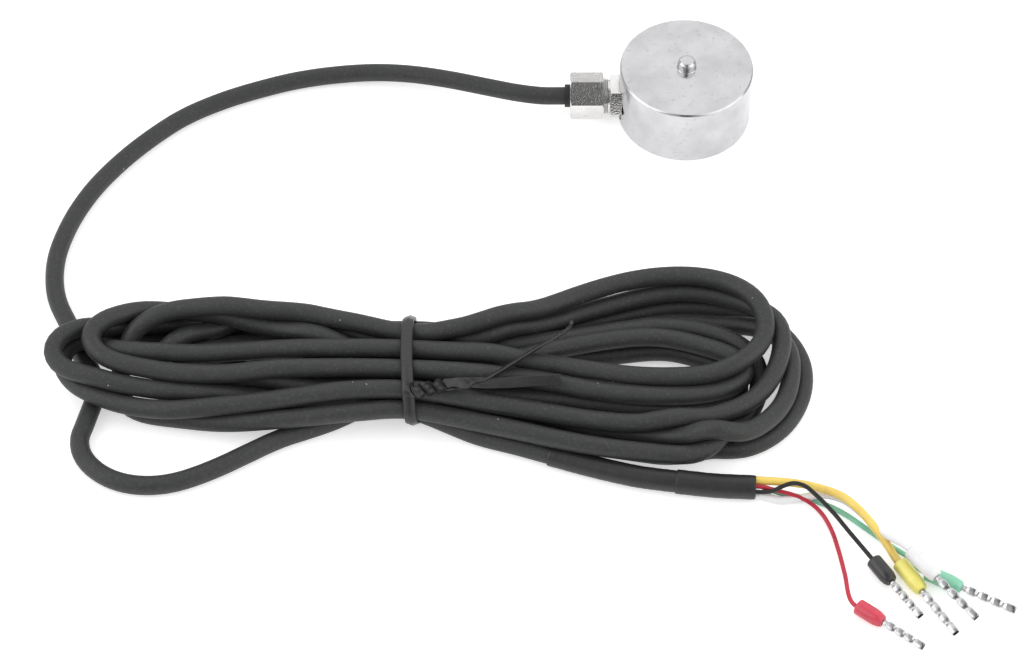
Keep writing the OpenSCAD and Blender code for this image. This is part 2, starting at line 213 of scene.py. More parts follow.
@dataclass(frozen=True)
class Plated:
    """A plated or ground metal with faint smudges and fine tool marks.

    A noise is given as (patch size, detail), and a range as the noise's low and
    high end, with what they become where that isn't 0 and 1.

    Attributes:
        name: Name of the material.
        colour: Its colour.
        roughness: Its middle roughness.
        smudge: How much darker a smudge is.
        grain: Depth of the fine grain in metres.
        grain_size: Width of the grain in metres.
        turned: Whether the lathe left fine rings round the Z axis.
    """

    name: str
    colour: Colour
    roughness: float
    smudge: float = 0.08
    grain: float = 2.0e-6
    grain_size: float = 0.12 * MM
    turned: bool = False

    CLOUDS, CLOUD_RANGE = (5 * MM, 4.0), (0.35, 0.7)
    MARKS, MARK_RANGE = (0.9 * MM, 5.0), (0.6, 0.72, 0.0, 0.6)
    WEAR_RANGE, POLISHED, WORN = (0.3, 0.7), 0.85, 1.25
    GRAIN_DETAIL = 2.0
    LATHE_LINES, LATHE_DEPTH = (0.05 * MM, 1.0), 0.6e-6

    def material(self) -> bpy.types.Material:
        """Builds the metal.

        Returns:
            The finished material.
        """
        graph = Graph(self.name)
        cloud = graph.blotches(*self.CLOUDS)
        marks = graph.blotches(*self.MARKS)
        tint = graph.blend(graph.between(cloud, *self.CLOUD_RANGE), self.colour,
                           shade(self.colour, 1 - self.smudge))
        tint = graph.blend(graph.between(marks, *self.MARK_RANGE), tint,
                           shade(self.colour, 1 - 2 * self.smudge))
        rough = graph.between(cloud, *self.WEAR_RANGE, self.roughness * self.POLISHED,
                              self.roughness * self.WORN)
        graph.set(Base_Color=tint, Metallic=1.0, Roughness=rough)
        graph.bump(graph.blotches(self.grain_size, self.GRAIN_DETAIL), self.grain)
        if self.turned:
            split = graph.add("SeparateXYZ", graph.place)
            radius = graph.maths("SQRT", graph.maths(
                "ADD", graph.maths("POWER", split.outputs[0], 2.0),
                graph.maths("POWER", split.outputs[1], 2.0)))
            rings = graph.add("CombineXYZ", radius).outputs[0]
            graph.bump(graph.blotches(*self.LATHE_LINES, rings), self.LATHE_DEPTH)
        return graph.material


@dataclass(frozen=True)
class Plastic:
    """A moulded or extruded plastic with dust, marks and a soft skin.

    Noises and ranges are given as they are for a plated metal.

    Attributes:
        name: Name of the material.
        colour: Its colour.
        roughness: Its middle roughness.
        mottle: How much lighter and darker it gets from place to place.
        dust: How much the dust shows, 0 for none.
        clear: Weight of a clear gloss over it.
    """

    name: str
    colour: Colour
    roughness: float
    mottle: float = 0.15
    dust: float = 0.0
    clear: float = 0.0

    CLOUDS, CLOUD_RANGE = (4 * MM, 4.0), (0.3, 0.7)
    POLISHED, WORN = 0.88, 1.15
    SPECK_SPACING, SPECK_RANGE, SPECK_COVER = 2.6 * MM, (0.5, 1.0, 0.0, 0.055), 0.85
    FILM, FILM_RANGE = (0.5 * MM, 6.0), (0.52, 0.8, 0.0, 0.06)
    DUST_LEVEL = 0.5
    CLEAR_ROUGHNESS = 0.12
    SKIN, SKIN_DEPTH = (0.25 * MM, 3.0), 6.0e-6

    def material(self) -> bpy.types.Material:
        """Builds the plastic.

        Returns:
            The finished material.
        """
        graph = Graph(self.name)
        cloud = graph.blotches(*self.CLOUDS)
        tint = graph.blend(graph.between(cloud, *self.CLOUD_RANGE),
                           shade(self.colour, 1 - self.mottle),
                           shade(self.colour, 1 + self.mottle))
        if self.dust:
            specks = graph.add("TexVoronoi", Vector=graph.place,
                               Scale=1 / self.SPECK_SPACING)
            rare = graph.add("SeparateColor", Color=specks.outputs["Color"])
            size = graph.between(rare.outputs[0], *self.SPECK_RANGE)
            inside = graph.maths("LESS_THAN", specks.outputs["Distance"], size)
            film = graph.between(graph.blotches(*self.FILM), *self.FILM_RANGE)
            share = graph.maths(
                "MAXIMUM", graph.maths("MULTIPLY", inside, self.SPECK_COVER), film)
            tint = graph.blend(graph.maths("MULTIPLY", share, self.dust), tint,
                               grey(self.DUST_LEVEL))
        rough = graph.between(cloud, *self.CLOUD_RANGE, self.roughness * self.POLISHED,
                              min(1.0, self.roughness * self.WORN))
        graph.set(Base_Color=tint, Roughness=rough)
        if self.clear:
            graph.set(Coat_Weight=self.clear, Coat_Roughness=self.CLEAR_ROUGHNESS)
        graph.bump(graph.blotches(*self.SKIN), self.SKIN_DEPTH)
        return graph.material


class Finishes(Enum):
    """The finishes of this part, one for each kind of surface."""

    BODY = Plated("nickel_satin", (0.58, 0.58, 0.595, 1), 0.2, smudge=0.16, turned=True)
    COVER = Plated("steel_satin", grey(0.5), 0.32)
    PLATING = Plated("nickel_bright", (0.76, 0.75, 0.74, 1), 0.16, smudge=0.2,
                     grain=3.6e-5, grain_size=0.32 * MM)
    THREAD = Plated("nickel_thread", grey(0.5), 0.2, smudge=0.2)
    TIN = Plated("tin_bright", (0.58, 0.58, 0.59, 1), 0.18, smudge=0.15)
    FOIL = Plastic("gauge_film", (0.50, 0.26, 0.05, 1), 0.35)
    BOARD = Plastic("solder_mask", (0.03, 0.14, 0.06, 1), 0.4)
    RUBBER = Plastic("seal_rubber", grey(0.012), 0.55)
    JACKET = Plastic("jacket_pvc", (0.0265, 0.0272, 0.028, 1), 0.55, mottle=0.1,
                     dust=1.0)
    TIE = Plastic("tie_film", (0.020, 0.020, 0.0205, 1), 0.38, dust=0.6)
    SLEEVE = Plastic("sleeve_film", (0.016, 0.016, 0.0165, 1), 0.45, mottle=0.1,
                     dust=0.3)
    WIRE_RED = Plastic("insulation_red", (0.52, 0.022, 0.05, 1), 0.3)
    WIRE_BLACK = Plastic("insulation_black", grey(0.004), 0.5)
    WIRE_YELLOW = Plastic("insulation_yellow", (0.95, 0.66, 0.15, 1), 0.3)
    WIRE_WHITE = Plastic("insulation_white", (0.92, 0.92, 0.93, 1), 0.3, mottle=0.04)
    WIRE_GREEN = Plastic("insulation_green", (0.24, 0.62, 0.43, 1), 0.3)
    COLLAR_RED = Plastic("collar_red", (0.62, 0.05, 0.085, 1), 0.28, clear=0.2)
    COLLAR_BLACK = Plastic("collar_black", grey(0.028), 0.32, clear=0.15)
    COLLAR_YELLOW = Plastic("collar_yellow", (0.95, 0.86, 0.21, 1), 0.28, mottle=0.06,
                            clear=0.2)
    COLLAR_WHITE = Plastic("collar_white", (0.87, 0.87, 0.875, 1), 0.28, mottle=0.03,
                           clear=0.3)
    COLLAR_GREEN = Plastic("collar_green", (0.27, 0.66, 0.46, 1), 0.28, clear=0.2)


class Paint:
    """Makes each finish once and gives it to pieces.

    Attributes:
        made: The materials that are built so far.
    """

    made: dict[Finishes, bpy.types.Material] = {}

    @classmethod
    def of(cls, finish: Finishes) -> bpy.types.Material:
        """Looks a finish's material up, and builds it at its first use.

        Args:
            finish: The finish.

        Returns:
            Its material.
        """
        if finish not in cls.made:
            cls.made[finish] = finish.value.material()
        return cls.made[finish]

    @classmethod
    def put(cls, piece: Piece, finish: Finishes) -> None:
        """Gives a piece one finish all over.

        Args:
            piece: A new piece or a node of the frame.
            finish: The finish it takes.
        """
        if piece.material_slots:
            for each in piece.material_slots:
                each.material = cls.of(finish)
        else:
            piece.data.materials.append(cls.of(finish))


# ---------------------------------------------------------------- modelling


# Sharpest edge that is smooth on a round piece, in degrees.
ROUND_ANGLE = 50
# A node's triangles are merged at this distance in metres, and its faces joined
# where they lie flat to this angle in degrees.
MERGE_DISTANCE = 2e-6
FLAT_ANGLE = 0.8
EDGE_SEGMENTS = 2


def deselect() -> None:
    """Leaves object mode with nothing selected."""
    if bpy.context.mode != "OBJECT":
        bpy.ops.object.mode_set(mode="OBJECT")
    bpy.ops.object.select_all(action="DESELECT")


def pick(piece: Piece) -> None:
    """Selects one piece alone and makes it active.

    Args:
        piece: The piece.
    """
    deselect()
    piece.select_set(True)
    bpy.context.view_layer.objects.active = piece


def fresh(name: str) -> Piece:
    """Names the piece that was just added.

    Args:
        name: Name of the piece and its mesh.

    Returns:
        The piece.
    """
    piece = bpy.context.active_object
    piece.name = piece.data.name = name
    return piece


def settle(piece: Piece, place: Matrix) -> None:
    """Moves a piece to its place and puts that place in its mesh.

    Args:
        piece: The finished piece.
        place: Its place in the frame.
    """
    pick(piece)
    piece.matrix_world = place @ piece.matrix_world
    bpy.ops.object.transform_apply(location=True, rotation=True, scale=True)


def finish_with(piece: Piece, kind: str, **values: object) -> None:
    """Adds a modifier and applies it.

    Args:
        piece: The piece to finish.
        kind: Blender's modifier type.
        values: The modifier's settings.
    """
    pick(piece)
    modifier = piece.modifiers.new(kind.lower(), kind)
    for key, value in values.items():
        setattr(modifier, key, value)
    bpy.ops.object.modifier_apply(modifier=modifier.name)


def smooth(piece: Piece, angle: float) -> None:
    """Shades a piece smooth up to an angle in degrees between faces."""
    pick(piece)
    bpy.ops.object.shade_smooth_by_angle(angle=math.radians(angle))


def face_outwards(piece: Piece) -> None:
    """Turns the faces of a closed piece outwards.

    Args:
        piece: The piece.
    """
    pick(piece)
    bpy.ops.object.mode_set(mode="EDIT")
    bpy.ops.mesh.select_all(action="SELECT")
    bpy.ops.mesh.normals_make_consistent(inside=False)
    bpy.ops.object.mode_set(mode="OBJECT")


def join_kit(piece: Piece, finish: Finishes,
             nodes: Sequence[str] = ()) -> None:
    """Hands a piece over: body, finish and the nodes it stands for.

    Args:
        piece: The finished piece.
        finish: The finish of its surface.
        nodes: Nodes of the frame that it replaces.
    """
    Paint.put(piece, finish)
    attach(piece, BODY)
    if nodes:
        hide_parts(*nodes)
    LOG.info("%s: %d faces", piece.name, len(piece.data.polygons))


def refined_copy(node: str, name: str, bevel: float, keep: float) -> Piece:
    """A copy of a node with whole faces, rounded edges and smooth shading.

    Args:
        node: Name of the node.
        name: Name of the copy.
        bevel: Width of the rounding on its sharp edges.
        keep: Angle in degrees above which an edge is rounded.

    Returns:
        The copy, still without a finish.
    """
    pick(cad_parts[node])
    bpy.ops.object.duplicate()
    piece = fresh(name)
    piece.data = piece.data.copy()
    piece.data.name = name
    piece.parent = None
    pick(piece)
    bpy.ops.object.mode_set(mode="EDIT")
    bpy.ops.mesh.select_all(action="SELECT")
    bpy.ops.mesh.remove_doubles(threshold=MERGE_DISTANCE)
    bpy.ops.mesh.dissolve_limited(angle_limit=math.radians(FLAT_ANGLE))
    bpy.ops.object.mode_set(mode="OBJECT")
    finish_with(piece, "BEVEL", width=bevel, segments=EDGE_SEGMENTS,
                limit_method="ANGLE", angle_limit=math.radians(keep),
                harden_normals=False, loop_slide=False)
    smooth(piece, keep)
    finish_with(piece, "WEIGHTED_NORMAL", mode="FACE_AREA", keep_sharp=True)
    return piece


def circle(corners: int) -> np.ndarray:
    """Angles in radians, evenly round a circle."""
    return np.arange(corners) * 2 * math.pi / corners


def skin(name: str, rings: np.ndarray, closed: bool = False) -> Piece:
    """Joins rings of points to a closed surface.

    Args:
        name: Name of the piece.
        rings: Points by ring, in metres.
        closed: Whether the last ring joins the first, or both get a flat cap.

    Returns:
        The piece.
    """
    count, sides = rings.shape[:2]
    last = count if closed else count - 1
    faces = [(i * sides + k, i * sides + (k + 1) % sides,
              (i + 1) % count * sides + (k + 1) % sides, (i + 1) % count * sides + k)
             for i in range(last) for k in range(sides)]
    if not closed:
        faces += [tuple(range(sides - 1, -1, -1)),
                  tuple(range(last * sides, count * sides))]
    mesh = bpy.data.meshes.new(name)
    mesh.from_pydata(rings.reshape(-1, 3).tolist(), [], faces)
    piece = bpy.data.objects.new(name, mesh)
    bpy.context.scene.collection.objects.link(piece)
    return piece


# ---------------------------------------------------------------- cords


# Points that a spline puts between two knots, before they are spaced evenly.
SPAN_POINTS = 16
# Power of a knot's distance that keeps the spline free of loops.
KNOT_POWER = 0.5
# Length along a cord that takes up the UV map once, in metres.
MAP_LENGTH = 0.01
# Steps (around, along) from a face's first corner to its four corners.
CORNERS = ((0, 0), (1, 0), (1, 1), (0, 1))


def spline(points: Sequence[Point] | np.ndarray, step: float) -> np.ndarray:
    """A smooth line through points, with its own points evenly apart.

    Args:
        points: What the line goes through.
        step: Distance between the line's points.

    Returns:
        The line's points.
    """
    knots = np.asarray(points, float)
    knots = np.vstack([2 * knots[0] - knots[1], knots, 2 * knots[-1] - knots[-2]])
    at = np.concatenate([[0], np.cumsum(
        np.linalg.norm(np.diff(knots, axis=0), axis=1) ** KNOT_POWER)])
    spans = []
    for i in range(1, len(knots) - 2):
        p0, p1, p2, p3 = knots[i - 1:i + 3]
        t0, t1, t2, t3 = at[i - 1:i + 3]
        u = np.linspace(t1, t2, SPAN_POINTS, endpoint=False)[:, None]
        a1 = (t1 - u) / (t1 - t0) * p0 + (u - t0) / (t1 - t0) * p1
        a2 = (t2 - u) / (t2 - t1) * p1 + (u - t1) / (t2 - t1) * p2
        a3 = (t3 - u) / (t3 - t2) * p2 + (u - t2) / (t3 - t2) * p3
        b1 = (t2 - u) / (t2 - t0) * a1 + (u - t0) / (t2 - t0) * a2
        b2 = (t3 - u) / (t3 - t1) * a2 + (u - t1) / (t3 - t1) * a3
        spans.append((t2 - u) / (t2 - t1) * b1 + (u - t1) / (t2 - t1) * b2)
    spans.append(knots[-2:-1])
    return evenly(np.vstack(spans), step)


def evenly(line: np.ndarray, step: float) -> np.ndarray:
    """The same line with its points evenly apart.

    Args:
        line: Points along the line.
        step: Distance between the new points.

    Returns:
        The new points.
    """
    run = arc_length(line)
    count = max(2, round(run[-1] / step))
    marks = np.linspace(0, run[-1], count + 1)
    return np.stack([np.interp(marks, run, line[:, k]) for k in range(3)], 1)


def arc_length(line: np.ndarray) -> np.ndarray:
    """Distance along a line to each of its points."""
    return np.concatenate([[0], np.cumsum(
        np.linalg.norm(np.diff(line, axis=0), axis=1))])


def rising(run: np.ndarray, start: float, length: float) -> np.ndarray:
    """A share that is 0 up to a start and grows to 1 over a length."""
    return np.clip((run - start) / length, 0, 1)


def unit(ways: np.ndarray) -> np.ndarray:
    """Directions at length 1, row by row."""
    return ways / np.linalg.norm(ways, axis=1)[:, None]


def part_along(moves: np.ndarray, ways: np.ndarray) -> np.ndarray:
    """The part of each move that goes along its own direction of length 1."""
    return (moves * ways).sum(1)[:, None] * ways


def curl(points: np.ndarray) -> np.ndarray:
    """How far each point lies from the middle between its neighbours.

    Args:
        points: Points along a line.

    Returns:
        The ways to the middles, 0 at the ends.
    """
    ways = np.zeros_like(points)
    ways[1:-1] = (points[:-2] + points[2:]) / 2 - points[1:-1]
    return ways


def frames_along(line: np.ndarray) -> tuple[np.ndarray, np.ndarray, np.ndarray]:
    """Directions that ride along a line without twisting about it.

    Args:
        line: Points along the line.

    Returns:
        The headings, the side directions and the up directions.
    """
    ahead = unit(np.gradient(line, axis=0))
    side = np.empty_like(ahead)
    first = np.cross((0.0, 0.0, 1.0), ahead[0])
    side[0] = first / np.linalg.norm(first)
    for i in range(1, len(line)):
        turned = side[i - 1] - ahead[i] * (side[i - 1] @ ahead[i])
        side[i] = turned / np.linalg.norm(turned)
    return ahead, side, np.cross(ahead, side)


def sweep(name: str, line: np.ndarray, radii: np.ndarray, sides: int) -> Piece:
    """A round skin along a line, with flat ends.

    Args:
        name: Name of the piece.
        line: Points of the line in metres.
        radii: Its radius at each point, in metres.
        sides: Corners of its section.

    Returns:
        The piece, smooth and with a UV map along and around the line.
    """
    _, side, up = frames_along(line)
    turn = circle(sides)
    section = radii[:, None, None] * np.stack([np.cos(turn), np.sin(turn)], 1)[None]
    piece = skin(name, line[:, None] + section[:, :, :1] * side[:, None]
                 + section[:, :, 1:] * up[:, None])
    run = arc_length(line)
    table = piece.data.uv_layers.new(name="along")
    for face in piece.data.polygons[:(len(line) - 1) * sides]:
        i, k = divmod(face.index, sides)
        for loop, (du, dv) in zip(face.loop_indices, CORNERS):
            table.data[loop].uv = ((k + du) / sides, run[i + dv] / MAP_LENGTH)
    smooth(piece, ROUND_ANGLE)
    return piece


def tube(name: str, line: np.ndarray, radius: float, sides: int) -> Piece:
    """A round cord of one thickness along a line, all in metres."""
    return sweep(name, line, np.full(len(line), radius), sides)


@dataclass(frozen=True)
class Half:
    """Half a turn of the hank, from its slot at the tie round to the next one.

    Attributes:
        slot: Where it starts at the tie.
        firm: How firmly it stays where it was laid.
        points: Where it goes.
    """

    slot: int
    firm: float
    points: tuple[Point, ...]


@dataclass
class MainCable:
    """The jacketed cable: lead, tied hank, loose loop and tail, as one cord.

    It is laid out through the points listed below, and its strands are then
    pressed apart until they lie beside and on each other. How firm a stretch is
    says how little it moves then.

    Attributes:
        diameter: Thickness of the jacket.
        step: Spacing of the points that are pressed apart.
        keep_every: How many of those points make one knot of the final line.
        final_step: Spacing of the final line's points.
        sides: Corners of the section.
        tie_x: Where the tie is.
        rounds: Rounds of pressing.
        free_rounds: The last rounds, in which nothing pulls the strands back.
        search_every: Rounds from one search for strands that touch to the next.
        cell: Size of the boxes that the search sorts the points into.
        reach: Diameters along the cord within which points don't push each other.
        firm_blur: Points to either side that a change of firmness is spread over.
        fixed_from: Firmness from which a point never moves.
        held_from: Firmness above which a point gives way less sideways.
        held_share: The share of a sideways push that it follows.
        tie_lift: How far the tie's band lifts the strands off the floor.
        tie_half_width: Half the width of that rise.
        pull_across: Share of the way back that it is pulled, sideways.
        pull_deep: Share of the way back that it is pulled, in depth.
        smoothing: Share of a kink in depth that a round takes out.
        stiffness: How strongly the cord keeps its bend even.
        line: The finished centreline, in metres.
    """

    diameter: float = 3.5
    step: float = 1.5
    keep_every: int = 2
    final_step: float = 1.2
    sides: int = 22
    tie_x: float = -52.8
    rounds: int = 300
    free_rounds: int = 60
    search_every: int = 10
    cell: float = 5.5
    reach: float = 3.2
    firm_blur: int = 4
    fixed_from: float = 500.0
    held_from: float = 3.0
    held_share: float = 0.45
    tie_lift: float = 0.55
    tie_half_width: float = 2.2
    pull_across: float = 0.03
    pull_deep: float = 0.003
    smoothing: float = 0.2
    stiffness: float = 0.22
    line: np.ndarray = field(default_factory=lambda: np.zeros((0, 3)))

    # Firmness of a stretch that stays put, of one at the tie and of a loose one.
    FIXED, TIED, LOOSE = 1000.0, 4.0, 1.0

    LEAD = (
        (-22.0, 0, 4.8), (-23.6, 0, 4.8), (-28, 0, 4.8), (-33, 1, 4.6),
        (-38.5, 2.8, 4.2), (-46.5, 5.5, 3.6), (-54, 7.5, 3), (-61, 8.5, 2.4),
        (-68.5, 8.3, 2), (-76.5, 7, 1.75), (-84, 4.5, 1.75), (-91, 1.5, 1.75),
        (-98.5, -3, 1.75), (-105, -9, 1.75), (-110.5, -15.5, 1.75),
        (-115, -22.5, 1.75), (-118.5, -31, 1.75), (-120.2, -40, 1.75),
        (-119.3, -48.5, 1.75), (-116.2, -55.5, 1.75))
    JOIN = ((-113.8, -60, 1.75), (-111.3, -65.5, 1.75), (-110.1, -71.5, 1.75))
    # Where the cable passes the tie, as (y, z), by the number of the pass.
    SLOTS = {
        1: (-77.2, 4.9), 2: (-61.5, 2.4), 3: (-71.9, 2.4), 4: (-65, 2.4),
        5: (-75.3, 8.3), 6: (-59.7, 5.3), 7: (-68.4, 2.4), 8: (-63.2, 5.3),
        9: (-73.7, 5.3), 10: (-66.7, 5.3), 11: (-70.9, 8.6), 12: (-70.2, 5.3),
        13: (-66.3, 8.6), 14: (-62.6, 8.6), 15: (-75.3, 2.4),
    }
    # The turns of the hank, in the order in which the cable runs through them.
    HALVES = (
        Half(3, 4, (  # fifth bend on the right
            (-27, -81, 1.8), (-12, -84.4, 1.8), (-4.5, -85.3, 1.8),
            (0, -85.3, 1.75), (5.1, -84.9, 1.75), (8.9, -83.8, 1.75),
            (12.8, -81.3, 1.75), (15.8, -78.3, 1.75), (18.4, -73, 1.75),
            (19.6, -67.5, 1.75), (19.2, -63.8, 1.75), (17, -59, 1.75),
            (12, -53.9, 1.75), (4, -51.4, 1.75), (-5, -51.2, 1.75),
            (-22, -56.4, 1.75), (-36, -61.6, 1.9))),
        Half(4, 4, (  # lowest bend on the left
            (-78, -60.2, 1.9), (-92, -59.6, 1.8), (-101, -59.8, 1.8),
            (-108, -59.6, 2.4), (-112.2, -60.3, 3.6), (-114.9, -61.6, 4.3),
            (-116.6, -64.2, 4.3), (-116.2, -67, 4.3), (-113.9, -70.4, 4.6),
            (-110, -73.8, 5.1), (-105, -76.1, 5.2), (-99, -77.5, 5.4),
            (-92, -77.9, 5.5), (-81.6, -76.9, 6.2), (-66, -75.4, 7.6))),
        Half(5, 4, (  # second bend on the right
            (-36, -77.6, 6.8), (-18.2, -80.8, 6.2), (-9.6, -81.6, 6.6),
            (-1.9, -81.6, 6.8), (3.1, -80.3, 7), (7.3, -78.2, 7.1),
            (11, -75.2, 7.3), (13.4, -71, 7.3), (15.2, -65, 7.1),
            (15.4, -60.2, 6.6), (12.9, -56, 6), (4, -50.9, 5.2),
            (-5, -50.4, 5.2), (-20, -54.6, 5), (-32, -58.8, 4.6),
            (-42, -61.8, 4.8))),
        Half(6, 4, (  # outer bend on the left
            (-76, -57.6, 3.6), (-90, -57, 2.9), (-101, -57.6, 3.4),
            (-108, -58.5, 5), (-111.5, -59.6, 6.2), (-114.2, -61, 7.2),
            (-116.6, -62.6, 7.9), (-118, -65.6, 7.8), (-116.4, -68.9, 7.6),
            (-113.1, -71.2, 7.7), (-108.4, -72.8, 7.8), (-99.2, -74.4, 7.4),
            (-90.2, -74.3, 6.2), (-76, -72.6, 4.2))),
        Half(7, 4, (  # fourth bend on the right
            (-27, -77.6, 1.8), (-14, -80.4, 1.8), (-5, -81.2, 2.6),
            (-1.5, -82.5, 4), (2.4, -84.6, 7.0), (5.9, -84.6, 6.8),
            (10.1, -81.9, 6.3), (14, -78.1, 5.6), (16.3, -72.3, 5),
            (17, -67, 4.7), (16.2, -61.2, 4.2), (13, -57, 3), (4, -55.5, 1.9),
            (-5, -54.8, 1.75), (-24, -59.4, 1.75), (-38, -63, 3))),
        Half(8, 2, (  # second hidden bend
            (-64, -59.2, 5.2), (-73, -56.4, 5.2), (-80.5, -55.9, 5.1),
            (-86, -57.3, 4.9), (-90.8, -59.6, 4.8), (-97.1, -62.9, 4.6),
            (-99.6, -66.2, 4.3), (-97.5, -69.7, 4.3), (-88, -70.8, 4.8))),
        Half(9, 4, (  # third bend on the right, under its twin
            (-28, -74.5, 4.6), (-9, -76.4, 4), (-1.7, -76.3, 3.8),
            (3.7, -74.9, 3.6), (7.8, -71.4, 3.2), (7.2, -67.2, 2.4),
            (3.6, -65, 1.8), (-0.1, -63, 1.75), (-6, -61.4, 1.75),
            (-13, -62.2, 1.75), (-22, -63.4, 2.3))),
        Half(10, 4, (  # second bend on the left
            (-78, -58.4, 5.4), (-90, -56.2, 5.4), (-97.2, -55.2, 5.8),
            (-101.2, -56.2, 7), (-105, -58.8, 9), (-109, -61.2, 10.1),
            (-111.2, -63.8, 10.2), (-109.4, -67.3, 9.6), (-104, -69.7, 9),
            (-97.4, -71.4, 8.6), (-90.2, -72.1, 8.5), (-72.3, -70.7, 8.6))),
        Half(11, 4, (  # third bend on the right
            (-30, -72.8, 8.2), (-18, -75, 7.2), (-9.1, -75.6, 7),
            (-1.8, -75.3, 7), (3.6, -74.4, 7), (7.6, -72, 6.8),
            (8.6, -68.6, 6.2), (6.8, -65.8, 5.6), (2.6, -63.8, 5.2),
            (-3, -61.6, 5.2), (-9, -60.8, 5.2), (-20, -62.2, 5.2))),
        Half(12, 2, (  # inner bend on the left
            (-76, -64.5, 3.4), (-88, -62, 1.9), (-96, -60.6, 1.75),
            (-103.5, -60.6, 1.8), (-108.4, -61.4, 2.8), (-109.8, -63.4, 4.4),
            (-106.6, -65, 5.6), (-102, -66, 6.6), (-96, -66.6, 7.6),
            (-88, -67, 8.4), (-72, -66.1, 8.6))),
        Half(13, 4, (  # top bend on the right
            (-40, -67.4, 8.6), (-28.9, -69.5, 8.6), (-22, -70.8, 8.6),
            (-13.6, -72.2, 8.6), (-5.1, -72.8, 8.6), (1.8, -72.3, 8.8),
            (7.4, -69.8, 9.2), (11, -66.1, 9.3), (12.3, -61.9, 9.3),
            (12, -57.4, 9.2), (9.3, -53.1, 8.9), (4.5, -50.1, 8.6),
            (-2.5, -49, 8.6), (-11.3, -50, 8.6), (-20.1, -53, 8.6),
            (-28.8, -56.8, 8.6), (-40, -60.9, 8.6))),
        Half(14, 4, (  # third bend on the left
            (-63.4, -59.9, 8.6), (-72.6, -58.3, 8.6), (-82, -57, 8.6),
            (-91.3, -56.8, 8.6), (-97.8, -57.6, 8.6), (-102.3, -59.2, 7.2),
            (-104.3, -60.4, 5.4), (-105.1, -62, 3.6), (-105.6, -65, 2),
            (-105.7, -69.5, 1.75), (-104.4, -73.8, 2.2), (-101, -76.8, 3.2),
            (-96.4, -78.4, 4.3), (-90, -79.5, 4.8), (-82.8, -80, 5),
            (-71.5, -79.1, 5), (-61.3, -77.6, 5))),
        Half(1, 4, (  # sixth bend on the right
            (-40, -80.3, 5.1), (-28.9, -83.4, 5.3), (-18.7, -85.9, 5.4),
            (-10.8, -87, 5.3), (-3.4, -87.4, 5.2), (-0.8, -86.6, 5.1),
            (1.8, -84.7, 4.6), (4.9, -81.6, 2.9), (8.4, -77.4, 1.9),
            (10.8, -71, 2), (11.3, -66.4, 3), (8.8, -62.6, 4), (4.4, -60, 4.4),
            (-1, -58.2, 4.4), (-8, -57.8, 4.4), (-24, -60.6, 4.2),
            (-38, -61.6, 3.2))),
        Half(2, 1, (  # first hidden bend
            (-80, -62.6, 1.8), (-90, -63.2, 1.8), (-97, -65, 1.8),
            (-99, -68.6, 1.8), (-95.5, -72.4, 2), (-86, -74.2, 3.4),
            (-72, -75.2, 5), (-62, -75.6, 4.9))),
    )
    LOOP = (
        (-111.3, -78, 1.75), (-112, -82, 1.75), (-111, -85.5, 1.75),
        (-108.5, -88.5, 1.75), (-105, -90.7, 1.75), (-100.5, -91.8, 1.75),
        (-95.5, -91.5, 1.75), (-91, -90, 1.75), (-86, -87.5, 1.75),
        (-81, -84.5, 1.75), (-76, -81.6, 1.75), (-70.5, -79.3, 1.75))
    TAIL = (
        (-40, -80.9, 1.8), (-33.5, -83.1, 2), (-27, -85.3, 2), (-19, -88, 2),
        (-11.5, -90.2, 2.2), (-4.7, -91.3, 2.2), (2.3, -92.2, 2.2))
    # Where the cable goes from the loose loop into the hank.
    CROSSING = ((-63.5, -76.4, 1.75),)
    LAST_SLOT = 15

    def pass_tie(self, slot: int) -> tuple[Point, ...]:
        """The point where the cable passes the tie in a slot."""
        return ((self.tie_x, *self.SLOTS[slot]),)

    def route(self) -> tuple[np.ndarray, np.ndarray]:
        """Lays the whole winding out, strand by strand.

        Returns:
            The line's points and how firmly each one stays.
        """
        runs = [(self.LEAD, self.FIXED), (self.JOIN, self.LOOSE),
                (self.LOOP, self.FIXED), (self.CROSSING, self.LOOSE)]
        for half in self.HALVES:
            runs += [(self.pass_tie(half.slot), self.TIED), (half.points, half.firm)]
        runs += [(self.pass_tie(self.LAST_SLOT), self.TIED), (self.TAIL, self.FIXED)]
        knots = np.vstack([np.array(points, float) for points, _ in runs])
        firm = np.concatenate([[f] * len(points) for points, f in runs])
        line = spline(knots, self.step)
        share = arc_length(knots) / arc_length(knots)[-1]
        which = np.searchsorted(share, np.linspace(0, 1, len(line)))
        firm = np.pad(firm[np.clip(which, 0, len(firm) - 1)], self.firm_blur,
                      mode="edge")
        blur = 2 * self.firm_blur + 1
        return line, np.convolve(firm, np.ones(blur) / blur, "valid")

    def neighbours(self, line: np.ndarray, skip: int) -> tuple[np.ndarray, np.ndarray]:
        """Finds the pairs of points that could touch.

        Args:
            line: The cord's points.
            skip: Points along the cord that are too near to count.

        Returns:
            The first and the second point of each pair.
        """
        cells: dict[tuple[int, ...], list[int]] = {}
        for i, key in enumerate(map(tuple, np.floor(line / self.cell).astype(int))):
            cells.setdefault(key, []).append(i)
        first, second = [], []
        for key, here in cells.items():
            for step in np.ndindex(3, 3, 3):
                near = cells.get(tuple(k + s - 1 for k, s in zip(key, step)))
                if near:
                    a, b = (m.ravel() for m in np.meshgrid(here, near, indexing="ij"))
                    apart = b - a > skip
                    first.append(a[apart])
                    second.append(b[apart])
        return np.concatenate(first), np.concatenate(second)

